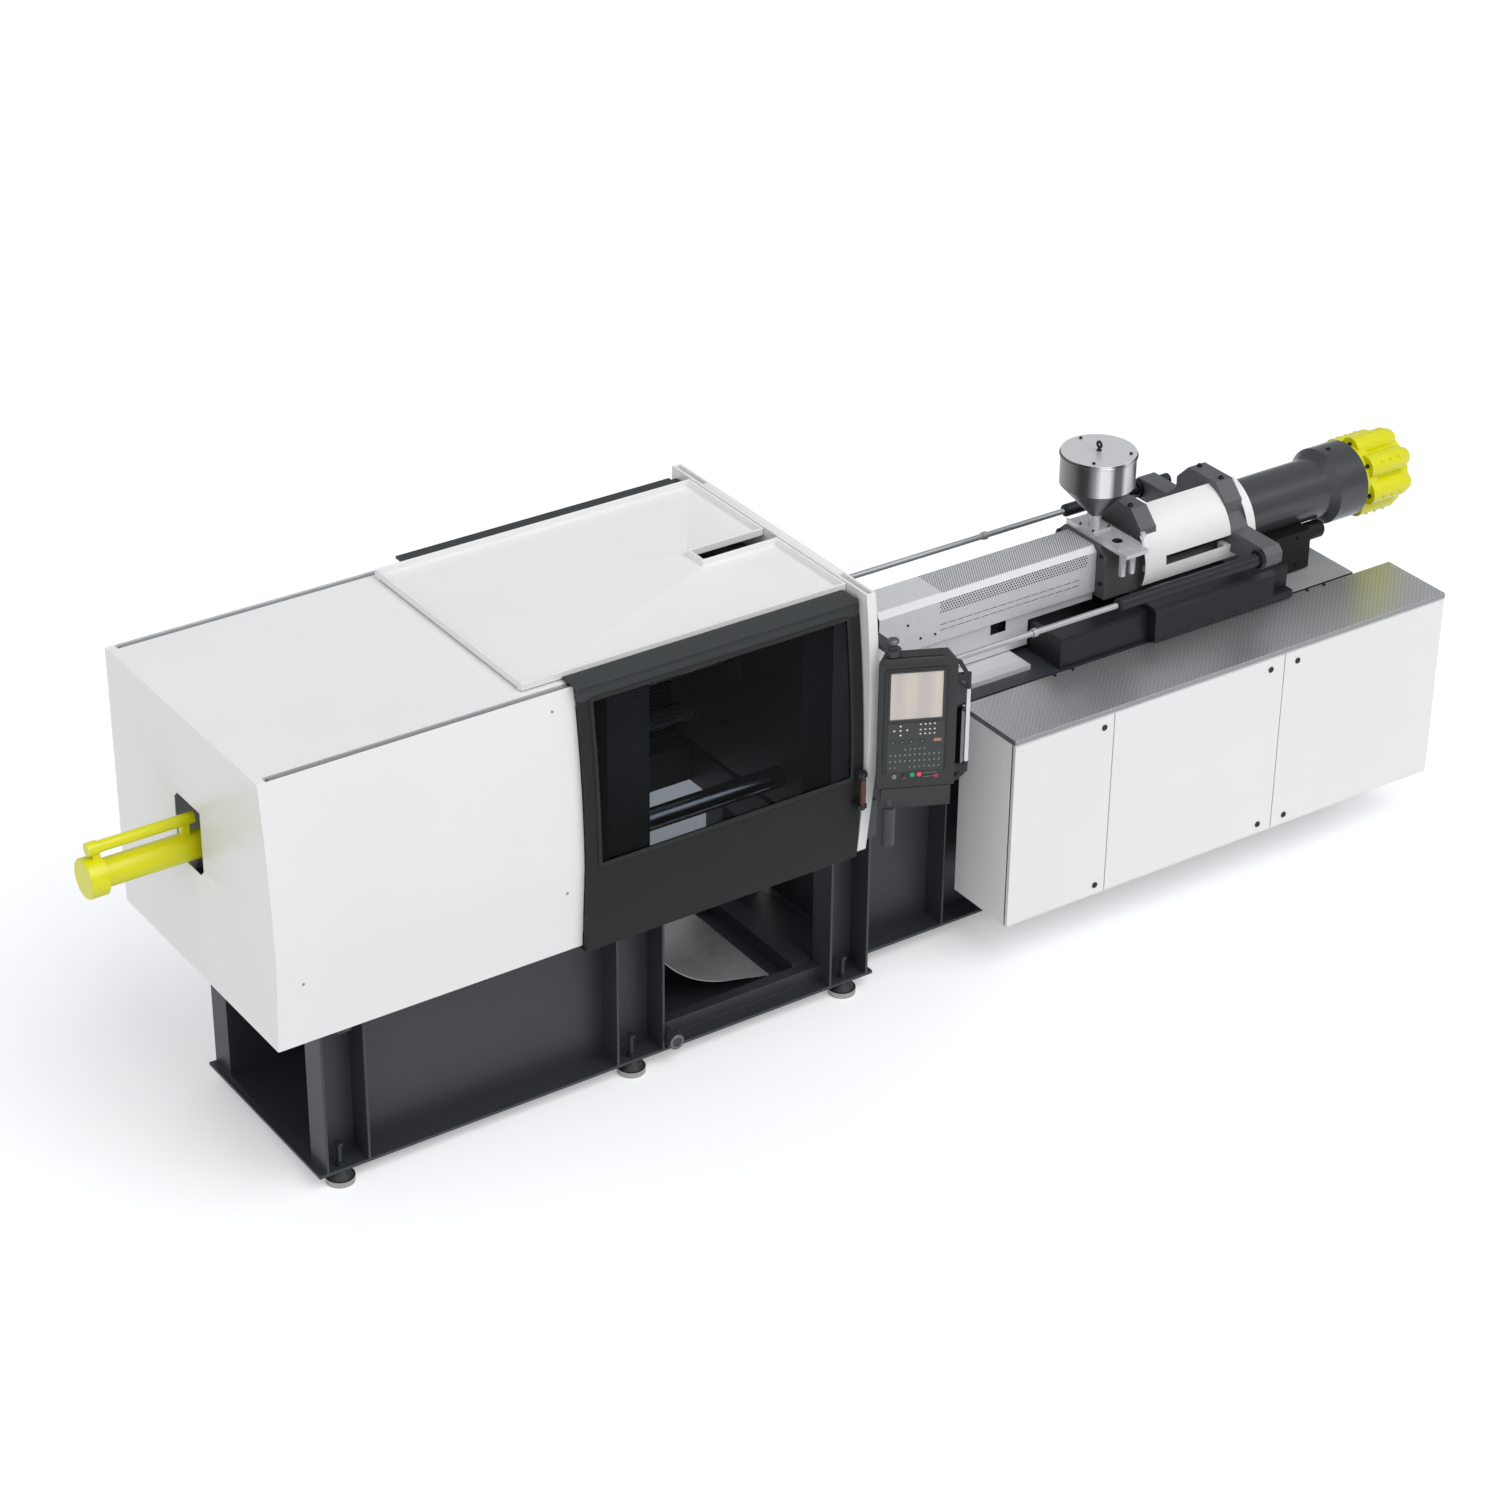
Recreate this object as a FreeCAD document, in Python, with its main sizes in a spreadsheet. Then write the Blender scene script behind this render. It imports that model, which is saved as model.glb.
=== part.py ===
import FreeCAD, Part
import math
import os
from types import SimpleNamespace

import Sketcher
from FreeCAD import Placement, Rotation, Vector

# Injection moulding machine with a horizontal double toggle clamp, in millimetres, Z up.
# +X runs from the clamp cylinder to the screw motor, and -Y is the operator's side.
# Stations are measured from the end cover (x), the machine's centreline (y) and the underside
# of the base plates (z). Each sub-part's Placement then moves it to the machine's own frame:
# the floor under the middle of the machine.

DIMENSIONS = {
    # place and main heights
    "foot_height": 65,
    "centreline_offset": 132,
    "axis_height": 1480,
    "running_gap": 0.3,
    "pin_gap": 0.05,
    # covers and guards of the clamp unit
    "cover_length": 1446,
    "cover_drop": 615,
    "cover_rise": 620,
    "belly_drop": 210,
    "cover_half_top": 672,
    "cover_half_belly": 740,
    "cover_half_bottom": 712,
    "belly_radius": 5500,
    "cover_sheet": 4,
    "cover_return": 60,
    "roof_half": 632,
    "end_hole_width": 230,
    "end_hole_shift": 15,
    "end_hole_notch": 30,
    "end_hole_bottom": 90,
    "end_hole_top": 220,
    "gate_length": 1404,
    "gate_proud": 31,
    "gate_thickness": 25,
    "gate_drop": 20,
    "gate_stile": 54,
    "gate_sill": 425,
    "gate_head": 60,
    "shoe_length": 120,
    "shoe_width": 12,
    "window_thickness": 6,
    "window_inset": 6,
    "header_thickness": 12,
    "header_lift": 8,
    "header_inner": 612,
    "header_outer": 727,
    "rear_header_outer": 702,
    "gate_travel": 1300,
    "gate_gap": 7,
    "rail_spare": 86,
    "rail_width": 18,
    "rail_centre": 649,
    "lower_rail": 40,
    "lintel_width": 66,
    "lintel_depth": 70,
    "guard_overlap": 206,
    "guard_half": 608,
    "guard_lift": 8,
    "guard_rim": 34,
    "guard_wall": 12,
    "guard_slot_width": 100,
    "guard_slot_length": 383,
    "guard_slot_centre": -35,
    "surround_thickness": 48,
    "surround_half": 755,
    "surround_belly": 790,
    "surround_foot": 734,
    "surround_rise": 667,
    "surround_channel": 230,
    "surround_channel_depth": 40,
    # platens, tie bars and toggle
    "platen_size": 1040,
    "platen_thickness": 210,
    "platen_proud": 5,
    "platen_chamfer": 40,
    "end_platen_thickness": 220,
    "daylight": 790,
    "stroke": 520,
    "tie_bar_spacing": 720,
    "tie_bar_radius": 50,
    "tie_nut_radius": 85,
    "tie_nut_length": 70,
    "locating_radius": 62.5,
    "locating_depth": 60,
    "nozzle_bore": 95,
    "ejector_bore": 31,
    "mould_bolt_spacing": 210,
    "mould_bolt_radius": 10,
    "mould_bolt_depth": 45,
    "pivot_height": 460,
    "rear_lug": 280,
    "front_lug": 100,
    "rear_link": 400,
    "front_link": 840,
    "cross_link": 160,
    "knuckle_reach": 220,
    "eye_radius": 55,
    "small_eye_radius": 40,
    "pin_radius": 35,
    "small_pin_radius": 22,
    "cross_layer": 75,
    "cross_plate": 40,
    "link_plate": 60,
    "link_gap": 10,
    "outer_lug": 35,
    "crosshead_thickness": 90,
    "crosshead_half_width": 66,
    "crosshead_margin": 42,
    "guide_spacing": 360,
    "guide_radius": 25,
    "rod_radius": 35,
    "piston_radius": 50,
    "piston_length": 60,
    "clamp_tube_radius": 62.5,
    "clamp_cap_radius": 88,
    "clamp_cap_length": 80,
    "clamp_cap_wall": 40,
    "clamp_cap_reach": 470,
    "clamp_flange_radius": 115,
    "clamp_flange": 40,
    "pilot_height": 130,
    "pilot_radius": 25,
    "pilot_length": 470,
    "pilot_block": 36,
    "ejector_radius": 55,
    "ejector_spare": 70,
    "ejector_stroke": 150,
    "ejector_rod": 30,
    # base of the clamp unit
    "base_margin": 129,
    "base_tail": 219,
    "base_half": 510,
    "base_plate": 15,
    "post_depth": 140,
    "post_wall": 12,
    "beam_drop": 550,
    "beam_depth": 190,
    "slide_height": 15,
    "slide_inner": 400,
    "slide_outer": 480,
    "first_post": 36,
    "first_post_width": 213,
    "middle_post": 960,
    "middle_post_width": 250,
    "last_post": 244,
    "last_post_width": 215,
    "rail_arm_width": 60,
    "rail_arm_reach": 130,
    "rail_arm_thickness": 30,
    "cover_arm_reach": 140,
    "first_arm": 60,
    "second_arm": 435,
    "third_arm": 365,
    "fourth_arm": 239,
    "sill_width": 60,
    "sill_height": 70,
    "low_member_width": 100,
    "low_member_height": 85,
    "foot_radius": 65,
    "foot_disc": 28,
    "stud_radius": 12,
    "stud_top": 130,
    "stud_head": 14,
    "foot_from_edge": 35,
    "foot_first": 115,
    "foot_middle": 94,
    "foot_last": 148,
    "drain_offset": 35,
    "drain_height": 61,
    "drain_radius": 28,
    "drain_cap_radius": 38,
    "chute_drop": 430,
    "chute_top": 550,
    "chute_reach": 480,
    "chute_sheet": 4,
    # injection unit
    "injection_base_length": 2961,
    "injection_half": 365,
    "injection_wall_half": 236,
    "injection_wall": 10,
    "rib_margin": 20,
    "second_rib": 500,
    "rib_pitch": 830,
    "last_rib": 36,
    "deck_drop": 310,
    "deck_half": 350,
    "rails_offset": 1151,
    "rails_length": 1380,
    "rails_inner": 210,
    "rails_outer": 345,
    "rails_height": 158,
    "rail_strip_inner": 258,
    "rail_strip": 10,
    "traverse": 450,
    "carriage_spare": 70,
    "saddle_length": 730,
    "saddle_half": 400,
    "saddle_plate": 27,
    "saddle_skirt": 120,
    "saddle_chamfer": 22,
    "lip_length": 850,
    "lip_height": 38,
    "front_yoke_offset": 60,
    "front_yoke": 95,
    "rear_yoke": 103,
    "yoke_gap": 423,
    "yoke_top": 260,
    "yoke_half_top": 100,
    "yoke_chamfer": 80,
    "ear_reach": 490,
    "ear_height": 110,
    "yoke_rod_radius": 28,
    "yoke_rod_spacing": 250,
    "yoke_rod_rise": 160,
    "shell_radius": 240,
    "shell_sheet": 4,
    "shell_length": 675,
    "shell_overhang": 5,
    "shell_lower_angle": -22,
    "shell_upper_angle": 78,
    "shell_slot_length": 400,
    "shell_slot_height": 50,
    "cylinder_radius": 150,
    "cylinder_length": 606,
    "cylinder_bore": 90,
    "cylinder_wall": 60,
    "cylinder_rim": 22,
    "housing_radius": 190,
    "housing_length": 216,
    "housing_chamfer": 37,
    "motor_radius": 205,
    "motor_length": 330,
    "motor_core_radius": 150,
    "motor_lobe_radius": 62,
    "motor_lobes": 7,
    "feed_length": 210,
    "feed_half": 190,
    "feed_top": 140,
    "barrel_radius": 75,
    "barrel_head": 1500,
    "heater_bands": 6,
    "heater_gap": 40,
    "heater_thickness": 9,
    "nozzle_reach": 1640,
    "nozzle_radius": 25,
    "nozzle_adapter": 45,
    "nozzle_adapter_length": 40,
    "screw_radius": 30,
    "screw_root": 21,
    "screw_pitch": 60,
    "screw_flight": 8,
    "screw_point": 4,
    "screw_tip": 40,
    "screw_gap": 40,
    "screw_neck": 80,
    "screw_shank": 27,
    "barrel_cover_length": 1250,
    "barrel_cover_half": 122,
    "barrel_cover_top": 131,
    "barrel_cover_side": 236,
    "barrel_cover_chamfer": 28,
    "barrel_cover_sheet": 3,
    "skirt_half": 108,
    "skirt_bottom": 280,
    "injection_stroke": 250,
    "piston_rod_radius": 45,
    "injection_piston_length": 70,
    "screw_coupling": 60,
    "screw_reach": 45,
    "coupling_depth": 40,
    "coupling_wall": 15,
    "piston_rest": 10,
    "traverse_offset": 451,
    "traverse_lift": 6,
    "traverse_rod_radius": 14,
    "traverse_tube_radius": 31,
    "traverse_tube_wall": 6,
    "front_tube_start": -278,
    "rear_tube_start": 123,
    "front_tube_length": 870,
    "rear_tube_length": 640,
    "collar_radius": 20,
    "collar_length": 24,
    "drive_box_offset": 900,
    "drive_box_length": 230,
    "drive_box_width": 200,
    "drive_box_top": 95,
    "drive_box_lift": 10,
    "pump_motor_height": 140,
    "pump_motor_length": 140,
    "pump_motor_radius": 45,
    "tray_offset": 701,
    "tray_length": 340,
    "tray_front": -267,
    "tray_back": 144,
    "tray_height": 25,
    "tray_sheet": 3,
    # hopper
    "slide_plate_width": 130,
    "slide_plate": 20,
    "slide_plate_front": 320,
    "slide_plate_back": 130,
    "throat_radius": 26,
    "hopper_travel": 170,
    "hopper_base": 10,
    "hopper_base_half": 58,
    "hopper_neck_radius": 30,
    "hopper_neck": 62,
    "hopper_radius": 178,
    "hopper_cone": 161,
    "hopper_drum": 158,
    "hopper_wall": 3,
    "lid_thickness": 5,
    "lid_ring_radius": 14,
    "lid_ring_wire": 4,
    "drain_tube_radius": 17,
    "drain_tube_length": 120,
    # control cabinet
    "cabinet_offset": 572,
    "cabinet_length": 2611,
    "cabinet_depth": 397,
    "cabinet_bottom": 182,
    "cabinet_lid": 28,
    "cabinet_sheet": 4,
    "door_depth": 22,
    "door_sheet": 3,
    "door_gap": 6,
    "door_pin_inset": 8,
    "door_pin_radius": 4,
    "left_door_width": 574,
    "middle_door_width": 1025,
    "mullion": 40,
    # control panel
    "panel_axis_out": 30,
    "panel_axis_front": 849,
    "panel_yaw": 25,
    "panel_left": 60,
    "panel_right": 282,
    "panel_face": 29,
    "panel_back": 30,
    "panel_drop": 353,
    "panel_step": 109,
    "panel_rise": 402,
    "panel_inset": 12,
    "panel_back_chamfer": 32,
    "panel_corner": 40,
    "post_radius": 31,
    "post_drop": 541,
    "post_pin_radius": 20,
    "arm_lift": 2,
    "arm_thickness": 25,
    "arm_inner": 640,
    "screen_left": 48,
    "screen_width": 232,
    "screen_height": 230,
    "screen_rise": 94,
    "screen_depth": 5,
    "button_radius": 11,
    "button_travel": 4,
    "button_drop": 179,
    "button_left": 154,
    "button_spacing": 30,
    "panel_handle_drop": 188,
    "panel_handle_rise": 298,
    "panel_bracket": 34,
    "panel_handle_radius": 11,
    "panel_handle_reach": 50,
    # handles of the gates
    "gate_handle_length": 180,
    "gate_handle_drop": 350,
    "gate_handle_foot": 22,
    "gate_handle_width": 45,
    "gate_handle_reach": 50,
}

doc = FreeCAD.newDocument("injection_moulding_machine")
sheet = doc.addObject("Spreadsheet::Sheet", "dims")


class Size:
    """A length, ratio or angle: its formula in the sheet's terms, and its value now."""

    def __init__(self, formula, value):
        self.formula = formula
        self.value = value

    def __add__(self, other):
        other = size(other)
        return Size("(%s + %s)" % (self.formula, other.formula), self.value + other.value)

    def __sub__(self, other):
        other = size(other)
        return Size("(%s - %s)" % (self.formula, other.formula), self.value - other.value)

    def __mul__(self, other):
        other = size(other)
        return Size("(%s * %s)" % (self.formula, other.formula), self.value * other.value)

    def __truediv__(self, other):
        other = size(other)
        return Size("(%s / %s)" % (self.formula, other.formula), self.value / other.value)

    def __radd__(self, other):
        return size(other) + self

    def __rsub__(self, other):
        return size(other) - self

    def __rmul__(self, other):
        return size(other) * self

    def __neg__(self):
        return size(0) - self


def size(number):
    """Takes a bare number as a size."""
    if isinstance(number, Size):
        return number
    return Size("(%.9g)" % number, float(number))


def root(square):
    """The square root of a size."""
    return Size("sqrt(%s)" % square.formula, math.sqrt(square.value))


def arc_cosine(ratio):
    """The angle, in degrees, with this cosine."""
    return Size("acos(%s)" % ratio.formula, math.degrees(math.acos(ratio.value)))


def cosine(angle):
    """The cosine of an angle in degrees."""
    return Size("cos(%s)" % angle.formula, math.cos(math.radians(angle.value)))


def sine(angle):
    """The sine of an angle in degrees."""
    return Size("sin(%s)" % angle.formula, math.sin(math.radians(angle.value)))


def slope(rise, run):
    """The angle, in degrees, of a line that climbs by rise over run."""
    rise, run = size(rise), size(run)
    formula = "atan2(%s; %s)" % (rise.formula, run.formula)
    return Size(formula, math.degrees(math.atan2(rise.value, run.value)))


def degrees(number):
    """A bare number of degrees as an angle."""
    return Size("(%s * 1 deg)" % size(number).formula, size(number).value)


for row, (word, number) in enumerate(DIMENSIONS.items(), start=1):
    sheet.set("A%d" % row, word.replace("_", " "))
    sheet.set("B%d" % row, str(number))
    sheet.setAlias("B%d" % row, word)
doc.recompute()

d = SimpleNamespace(**{word: Size("dims." + word, number) for word, number in DIMENSIONS.items()})


# ---------------------------------------------------------------- ways of making a solid

ACROSS = {"xy": ("XY_Plane", 1), "xz": ("XZ_Plane", -1), "yz": ("YZ_Plane", 1)}
TURN = {"x": Rotation(Vector(0, 1, 0), 90), "y": Rotation(Vector(1, 0, 0), -90), "z": Rotation()}
seats = {}


def bind(thing, name, value):
    """Ties one property of an object to the sheet."""
    thing.setExpression(name, size(value).formula)


def seat(thing, place, turn=None, axis=(0, 0, 1)):
    """Puts an object at a place given by three sizes, turned about an axis by an angle."""
    seats[thing.Name] = tuple(size(value) for value in place)
    if turn is not None:
        thing.Placement = Placement(Vector(), Rotation(Vector(*axis), 10))
        bind(thing, "Placement.Rotation.Angle", turn)
    for along, value in zip("xyz", place):
        bind(thing, "Placement.Base." + along, value)
    return thing


def on_axis(axis, along, across):
    """The three coordinates of a point along an axis whose two others are given."""
    point = list(across)
    point.insert("xyz".index(axis), along)
    return tuple(point)


def box(name, x, y, z):
    """A block between a low and a high station on each axis."""
    block = doc.addObject("Part::Box", name)
    for side, (low, high) in zip(("Length", "Width", "Height"), (x, y, z)):
        bind(block, side, size(high) - low)
    return seat(block, (x[0], y[0], z[0]))


def rod(name, axis, start, end, across, radius):
    """A round bar along an axis, through the point across on the two other axes."""
    bar = doc.addObject("Part::Cylinder", name)
    bar.Placement = Placement(Vector(), TURN[axis])
    bind(bar, "Radius", radius)
    bind(bar, "Height", size(end) - start)
    return seat(bar, on_axis(axis, start, across))


def taper(name, axis, start, end, across, first_radius, last_radius):
    """A cone's frustum along an axis."""
    cone = doc.addObject("Part::Cone", name)
    cone.Placement = Placement(Vector(), TURN[axis])
    bind(cone, "Radius1", first_radius)
    bind(cone, "Radius2", last_radius)
    bind(cone, "Height", size(end) - start)
    return seat(cone, on_axis(axis, start, across))


def fuse(name, *pieces):
    """One solid from pieces that meet."""
    whole = doc.addObject("Part::MultiFuse", name)
    whole.Shapes = list(pieces)
    whole.Refine = True
    return whole


def cut(name, base, *tools):
    """A solid less the tools that cross it."""
    result = doc.addObject("Part::Cut", name)
    result.Base = base
    result.Tool = tools[0] if len(tools) == 1 else fuse(name + "_tools", *tools)
    return result


def overlap(name, *pieces):
    """The part that pieces have in common."""
    shared = doc.addObject("Part::MultiCommon", name)
    shared.Shapes = list(pieces)
    return shared


def group(name, *pieces):
    """Like pieces that share a node as separate solids."""
    together = doc.addObject("Part::Compound", name)
    together.Links = list(pieces)
    return together


def attach_sketch(body, name, plane, station):
    """A sketch on one of the body's own planes, moved across it to a station."""
    role, sign = ACROSS[plane]
    sketch = body.newObject("Sketcher::SketchObject", name)
    origin = [plane for plane in body.Origin.OriginFeatures if plane.Role == role][0]
    sketch.AttachmentSupport = [(origin, "")]
    sketch.MapMode = "FlatFace"
    bind(sketch, "AttachmentOffset.Base.z", size(station) * sign)
    return sketch


def hold_point(sketch, edge, corner, point):
    """Ties a corner of a sketched edge to its two sizes."""
    for kind, value in zip(("DistanceX", "DistanceY"), point):
        rule = Sketcher.Constraint(kind, -1, 1, edge, corner, size(value).value)
        bind(sketch, "Constraints[%d]" % sketch.addConstraint(rule), value)


def arc_between(start, end, radius):
    """An arc from one point to the next, its centre left of the way for a positive radius."""
    x0, y0, x1, y1 = start[0].value, start[1].value, end[0].value, end[1].value
    half = math.hypot(x1 - x0, y1 - y0) / 2
    height = math.copysign(math.sqrt(radius.value ** 2 - half ** 2), radius.value)
    centre_x = (x0 + x1) / 2 - (y1 - y0) / (2 * half) * height
    centre_y = (y0 + y1) / 2 + (x1 - x0) / (2 * half) * height
    first = math.atan2(y0 - centre_y, x0 - centre_x)
    last = math.atan2(y1 - centre_y, x1 - centre_x)
    if radius.value < 0:
        first, last = last, first
    circle = Part.Circle(Vector(centre_x, centre_y, 0), Vector(0, 0, 1), abs(radius.value))
    return Part.ArcOfCircle(circle, first, last)


def draw_outline(sketch, points):
    """A closed outline. A third size at a point makes the stretch after it an arc."""
    corners = [tuple(size(value) for value in point) for point in points]
    ends = []
    for index, corner in enumerate(corners):
        following = corners[(index + 1) % len(corners)]
        if len(corner) == 3:
            sketch.addGeometry(arc_between(corner, following, corner[2]), False)
            ends.append((1, 2) if corner[2].value > 0 else (2, 1))
        else:
            start = Vector(corner[0].value, corner[1].value, 0)
            end = Vector(following[0].value, following[1].value, 0)
            sketch.addGeometry(Part.LineSegment(start, end), False)
            ends.append((1, 2))
    for index, (_, last) in enumerate(ends):
        following = (index + 1) % len(ends)
        rule = Sketcher.Constraint("Coincident", index, last, following, ends[following][0])
        sketch.addConstraint(rule)
    for index, corner in enumerate(corners):
        hold_point(sketch, index, ends[index][0], corner[:2])
        if len(corner) == 3:
            radius = corner[2] if corner[2].value > 0 else -corner[2]
            rule = Sketcher.Constraint("Radius", index, radius.value)
            bind(sketch, "Constraints[%d]" % sketch.addConstraint(rule), radius)


def draw_circles(sketch, circles):
    """Circles given by their centre and radius."""
    for across, along, radius in circles:
        place = Vector(size(across).value, size(along).value, 0)
        circle = Part.Circle(place, Vector(0, 0, 1), size(radius).value)
        edge = sketch.addGeometry(circle, False)
        hold_point(sketch, edge, 3, (across, along))
        rule = Sketcher.Constraint("Radius", edge, size(radius).value)
        bind(sketch, "Constraints[%d]" % sketch.addConstraint(rule), radius)


def prism(name, plane, points, start, end):
    """An outline on a plane, padded across it from one station to another."""
    body = doc.addObject("PartDesign::Body", name)
    near = start if ACROSS[plane][1] > 0 else end
    sketch = attach_sketch(body, name + "_outline", plane, near)
    draw_outline(sketch, points)
    pad = body.newObject("PartDesign::Pad", name + "_pad")
    pad.Profile = sketch
    bind(pad, "Length", size(end) - start)
    sketch.Visibility = False
    return body


def bore(body, name, plane, circles):
    """Round holes right through a body, across one of its planes."""
    sketch = attach_sketch(body, name, plane, 0)
    draw_circles(sketch, circles)
    pocket = body.newObject("PartDesign::Pocket", name + "_pocket")
    pocket.Profile = sketch
    pocket.Type = "ThroughAll"
    pocket.Midplane = True
    return body


def turned(name, axis, points, across):
    """A turned piece: (station, radius) points round X, or (radius, station) ones round Z."""
    body = doc.addObject("PartDesign::Body", name)
    sketch = attach_sketch(body, name + "_outline", "xz", 0)
    draw_outline(sketch, points)
    revolution = body.newObject("PartDesign::Revolution", name + "_turn")
    revolution.Profile = sketch
    revolution.ReferenceAxis = (sketch, ["H_Axis" if axis == "x" else "V_Axis"])
    revolution.Angle = 360
    return seat(body, on_axis(axis, 0, across))


def both(low, high, side):
    """A span of the +Y side, or its mirror image on the -Y side."""
    return (low, high) if side > 0 else (-high, -low)


# ---------------------------------------------------------------- heights and stations

cover_bottom = d.axis_height - d.cover_drop
cover_top = d.axis_height + d.cover_rise
belly_height = d.axis_height - d.belly_drop
surround_top = d.axis_height + d.surround_rise
beam_top = d.axis_height - d.beam_drop
beam_bottom = beam_top - d.beam_depth
deck = d.axis_height - d.deck_drop
panel_bottom = d.axis_height - d.panel_drop
panel_shoulder = panel_bottom + d.panel_step
panel_top = d.axis_height + d.panel_rise

cover_end = d.cover_length
gate_end = cover_end + d.gate_length
surround_start = gate_end + d.gate_gap
surround_end = surround_start + d.surround_thickness
fixed_back = surround_end + d.platen_proud
fixed_face = fixed_back - d.platen_thickness
moving_face = fixed_face - d.daylight
moving_back = moving_face - d.platen_thickness
front_pivot = moving_back - d.front_lug
rear_pivot = front_pivot + d.stroke - d.rear_link - d.front_link
end_face = rear_pivot - d.rear_lug
end_back = end_face - d.end_platen_thickness

# the toggle with the clamp fully open: the rear link hangs from its pivot by this angle
pivot_gap = front_pivot - rear_pivot
swing = arc_cosine((d.rear_link * d.rear_link + pivot_gap * pivot_gap - d.front_link * d.front_link)
                   / (2 * d.rear_link * pivot_gap))
knee_x = rear_pivot + d.rear_link * cosine(swing)
knee_height = d.pivot_height - d.rear_link * sine(swing)
knuckle_x = rear_pivot + d.knuckle_reach * cosine(swing)
knuckle_height = d.pivot_height - d.knuckle_reach * sine(swing)
cross_height = d.pivot_height - d.cross_link
cross_rise = knuckle_height - cross_height
cross_x = knuckle_x - root(d.cross_link * d.cross_link - cross_rise * cross_rise)
crosshead_stroke = rear_pivot + d.knuckle_reach - cross_x
crosshead_half_height = cross_height + d.crosshead_margin

platen_half = d.platen_size / 2
tie_half = d.tie_bar_spacing / 2
slide_top = beam_top + d.slide_height
platen_bottom = d.axis_height - platen_half

# layers of the toggle across the machine, from the middle outwards
cross_out = d.cross_layer + d.cross_plate
rear_in = cross_out + d.link_gap
rear_out = rear_in + d.link_plate
front_in = rear_out + d.link_gap
front_out = front_in + d.link_plate
lug_in = front_out + d.link_gap
lug_out = lug_in + d.outer_lug

base_start = end_back - d.base_margin
base_end = fixed_back + d.base_tail
injection_start = base_end
injection_end = injection_start + d.injection_base_length
rails_start = injection_start + d.rails_offset
rails_end = rails_start + d.rails_length
rails_top = deck + d.rails_height
saddle_start = rails_start + d.traverse + d.carriage_spare
saddle_end = saddle_start + d.saddle_length
saddle_bottom = rails_top + d.running_gap
saddle_top = saddle_bottom + d.saddle_plate
front_yoke_start = saddle_start + d.front_yoke_offset
front_yoke_end = front_yoke_start + d.front_yoke
rear_yoke_start = front_yoke_end + d.yoke_gap
rear_yoke_end = rear_yoke_start + d.rear_yoke
cylinder_end = rear_yoke_end + d.cylinder_length
housing_end = cylinder_end + d.housing_length
motor_end = housing_end + d.motor_length
feed_start = front_yoke_start - d.feed_length
feed_middle = feed_start + 80
feed_top = d.axis_height + d.feed_top
barrel_cover_start = feed_start - d.barrel_cover_length
nozzle_tip = saddle_start - d.nozzle_reach
barrel_start = saddle_start - d.barrel_head

cabinet_start = injection_start + d.cabinet_offset
cabinet_end = cabinet_start + d.cabinet_length
cabinet_back = -d.injection_half
cabinet_face = cabinet_back - d.cabinet_depth
lid_bottom = deck - d.cabinet_lid

panel_x = surround_end + d.panel_axis_out
panel_y = -d.panel_axis_front

# the machine's own frame: the floor under the middle of its length and width
datum = ((d.clamp_cap_reach - motor_end) / 2, d.centreline_offset, d.foot_height)

nodes = []


def node(label, piece):
    """Names a finished sub-part and places it in the machine's own frame."""
    own = seats.get(piece.Name, (size(0), size(0), size(0)))
    for along, value, shift in zip("xyz", own, datum):
        bind(piece, "Placement.Base." + along, value + shift)
    piece.Label = label
    nodes.append(piece)
    return piece


# ---------------------------------------------------------------- bases

def channel_post(name, start, width, side, top):
    """A post folded from plate: a channel that opens away from the machine."""
    inner = d.base_half - d.post_depth
    web = inner + d.post_wall
    end = start + width
    points = [(start, side * d.base_half), (start, side * inner), (end, side * inner),
              (end, side * d.base_half), (end - d.post_wall, side * d.base_half),
              (end - d.post_wall, side * web), (start + d.post_wall, side * web),
              (start + d.post_wall, side * d.base_half)]
    return prism(name, "xy", points, d.base_plate, top)


lower_rail_top = cover_bottom - d.gate_drop
lower_rail_bottom = lower_rail_top - d.gate_drop
post_starts = (base_start + d.first_post, fixed_face - d.middle_post, base_end - d.last_post)
post_widths = (d.first_post_width, d.middle_post_width, d.last_post_width)
foot_stations = (base_start + d.foot_first, post_starts[1] + d.foot_middle, base_end - d.foot_last)
foot_side = d.base_half - d.foot_from_edge
arm_stations = (base_start + d.first_arm, cover_end - d.second_arm, cover_end + d.third_arm,
                gate_end - d.fourth_arm)


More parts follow.
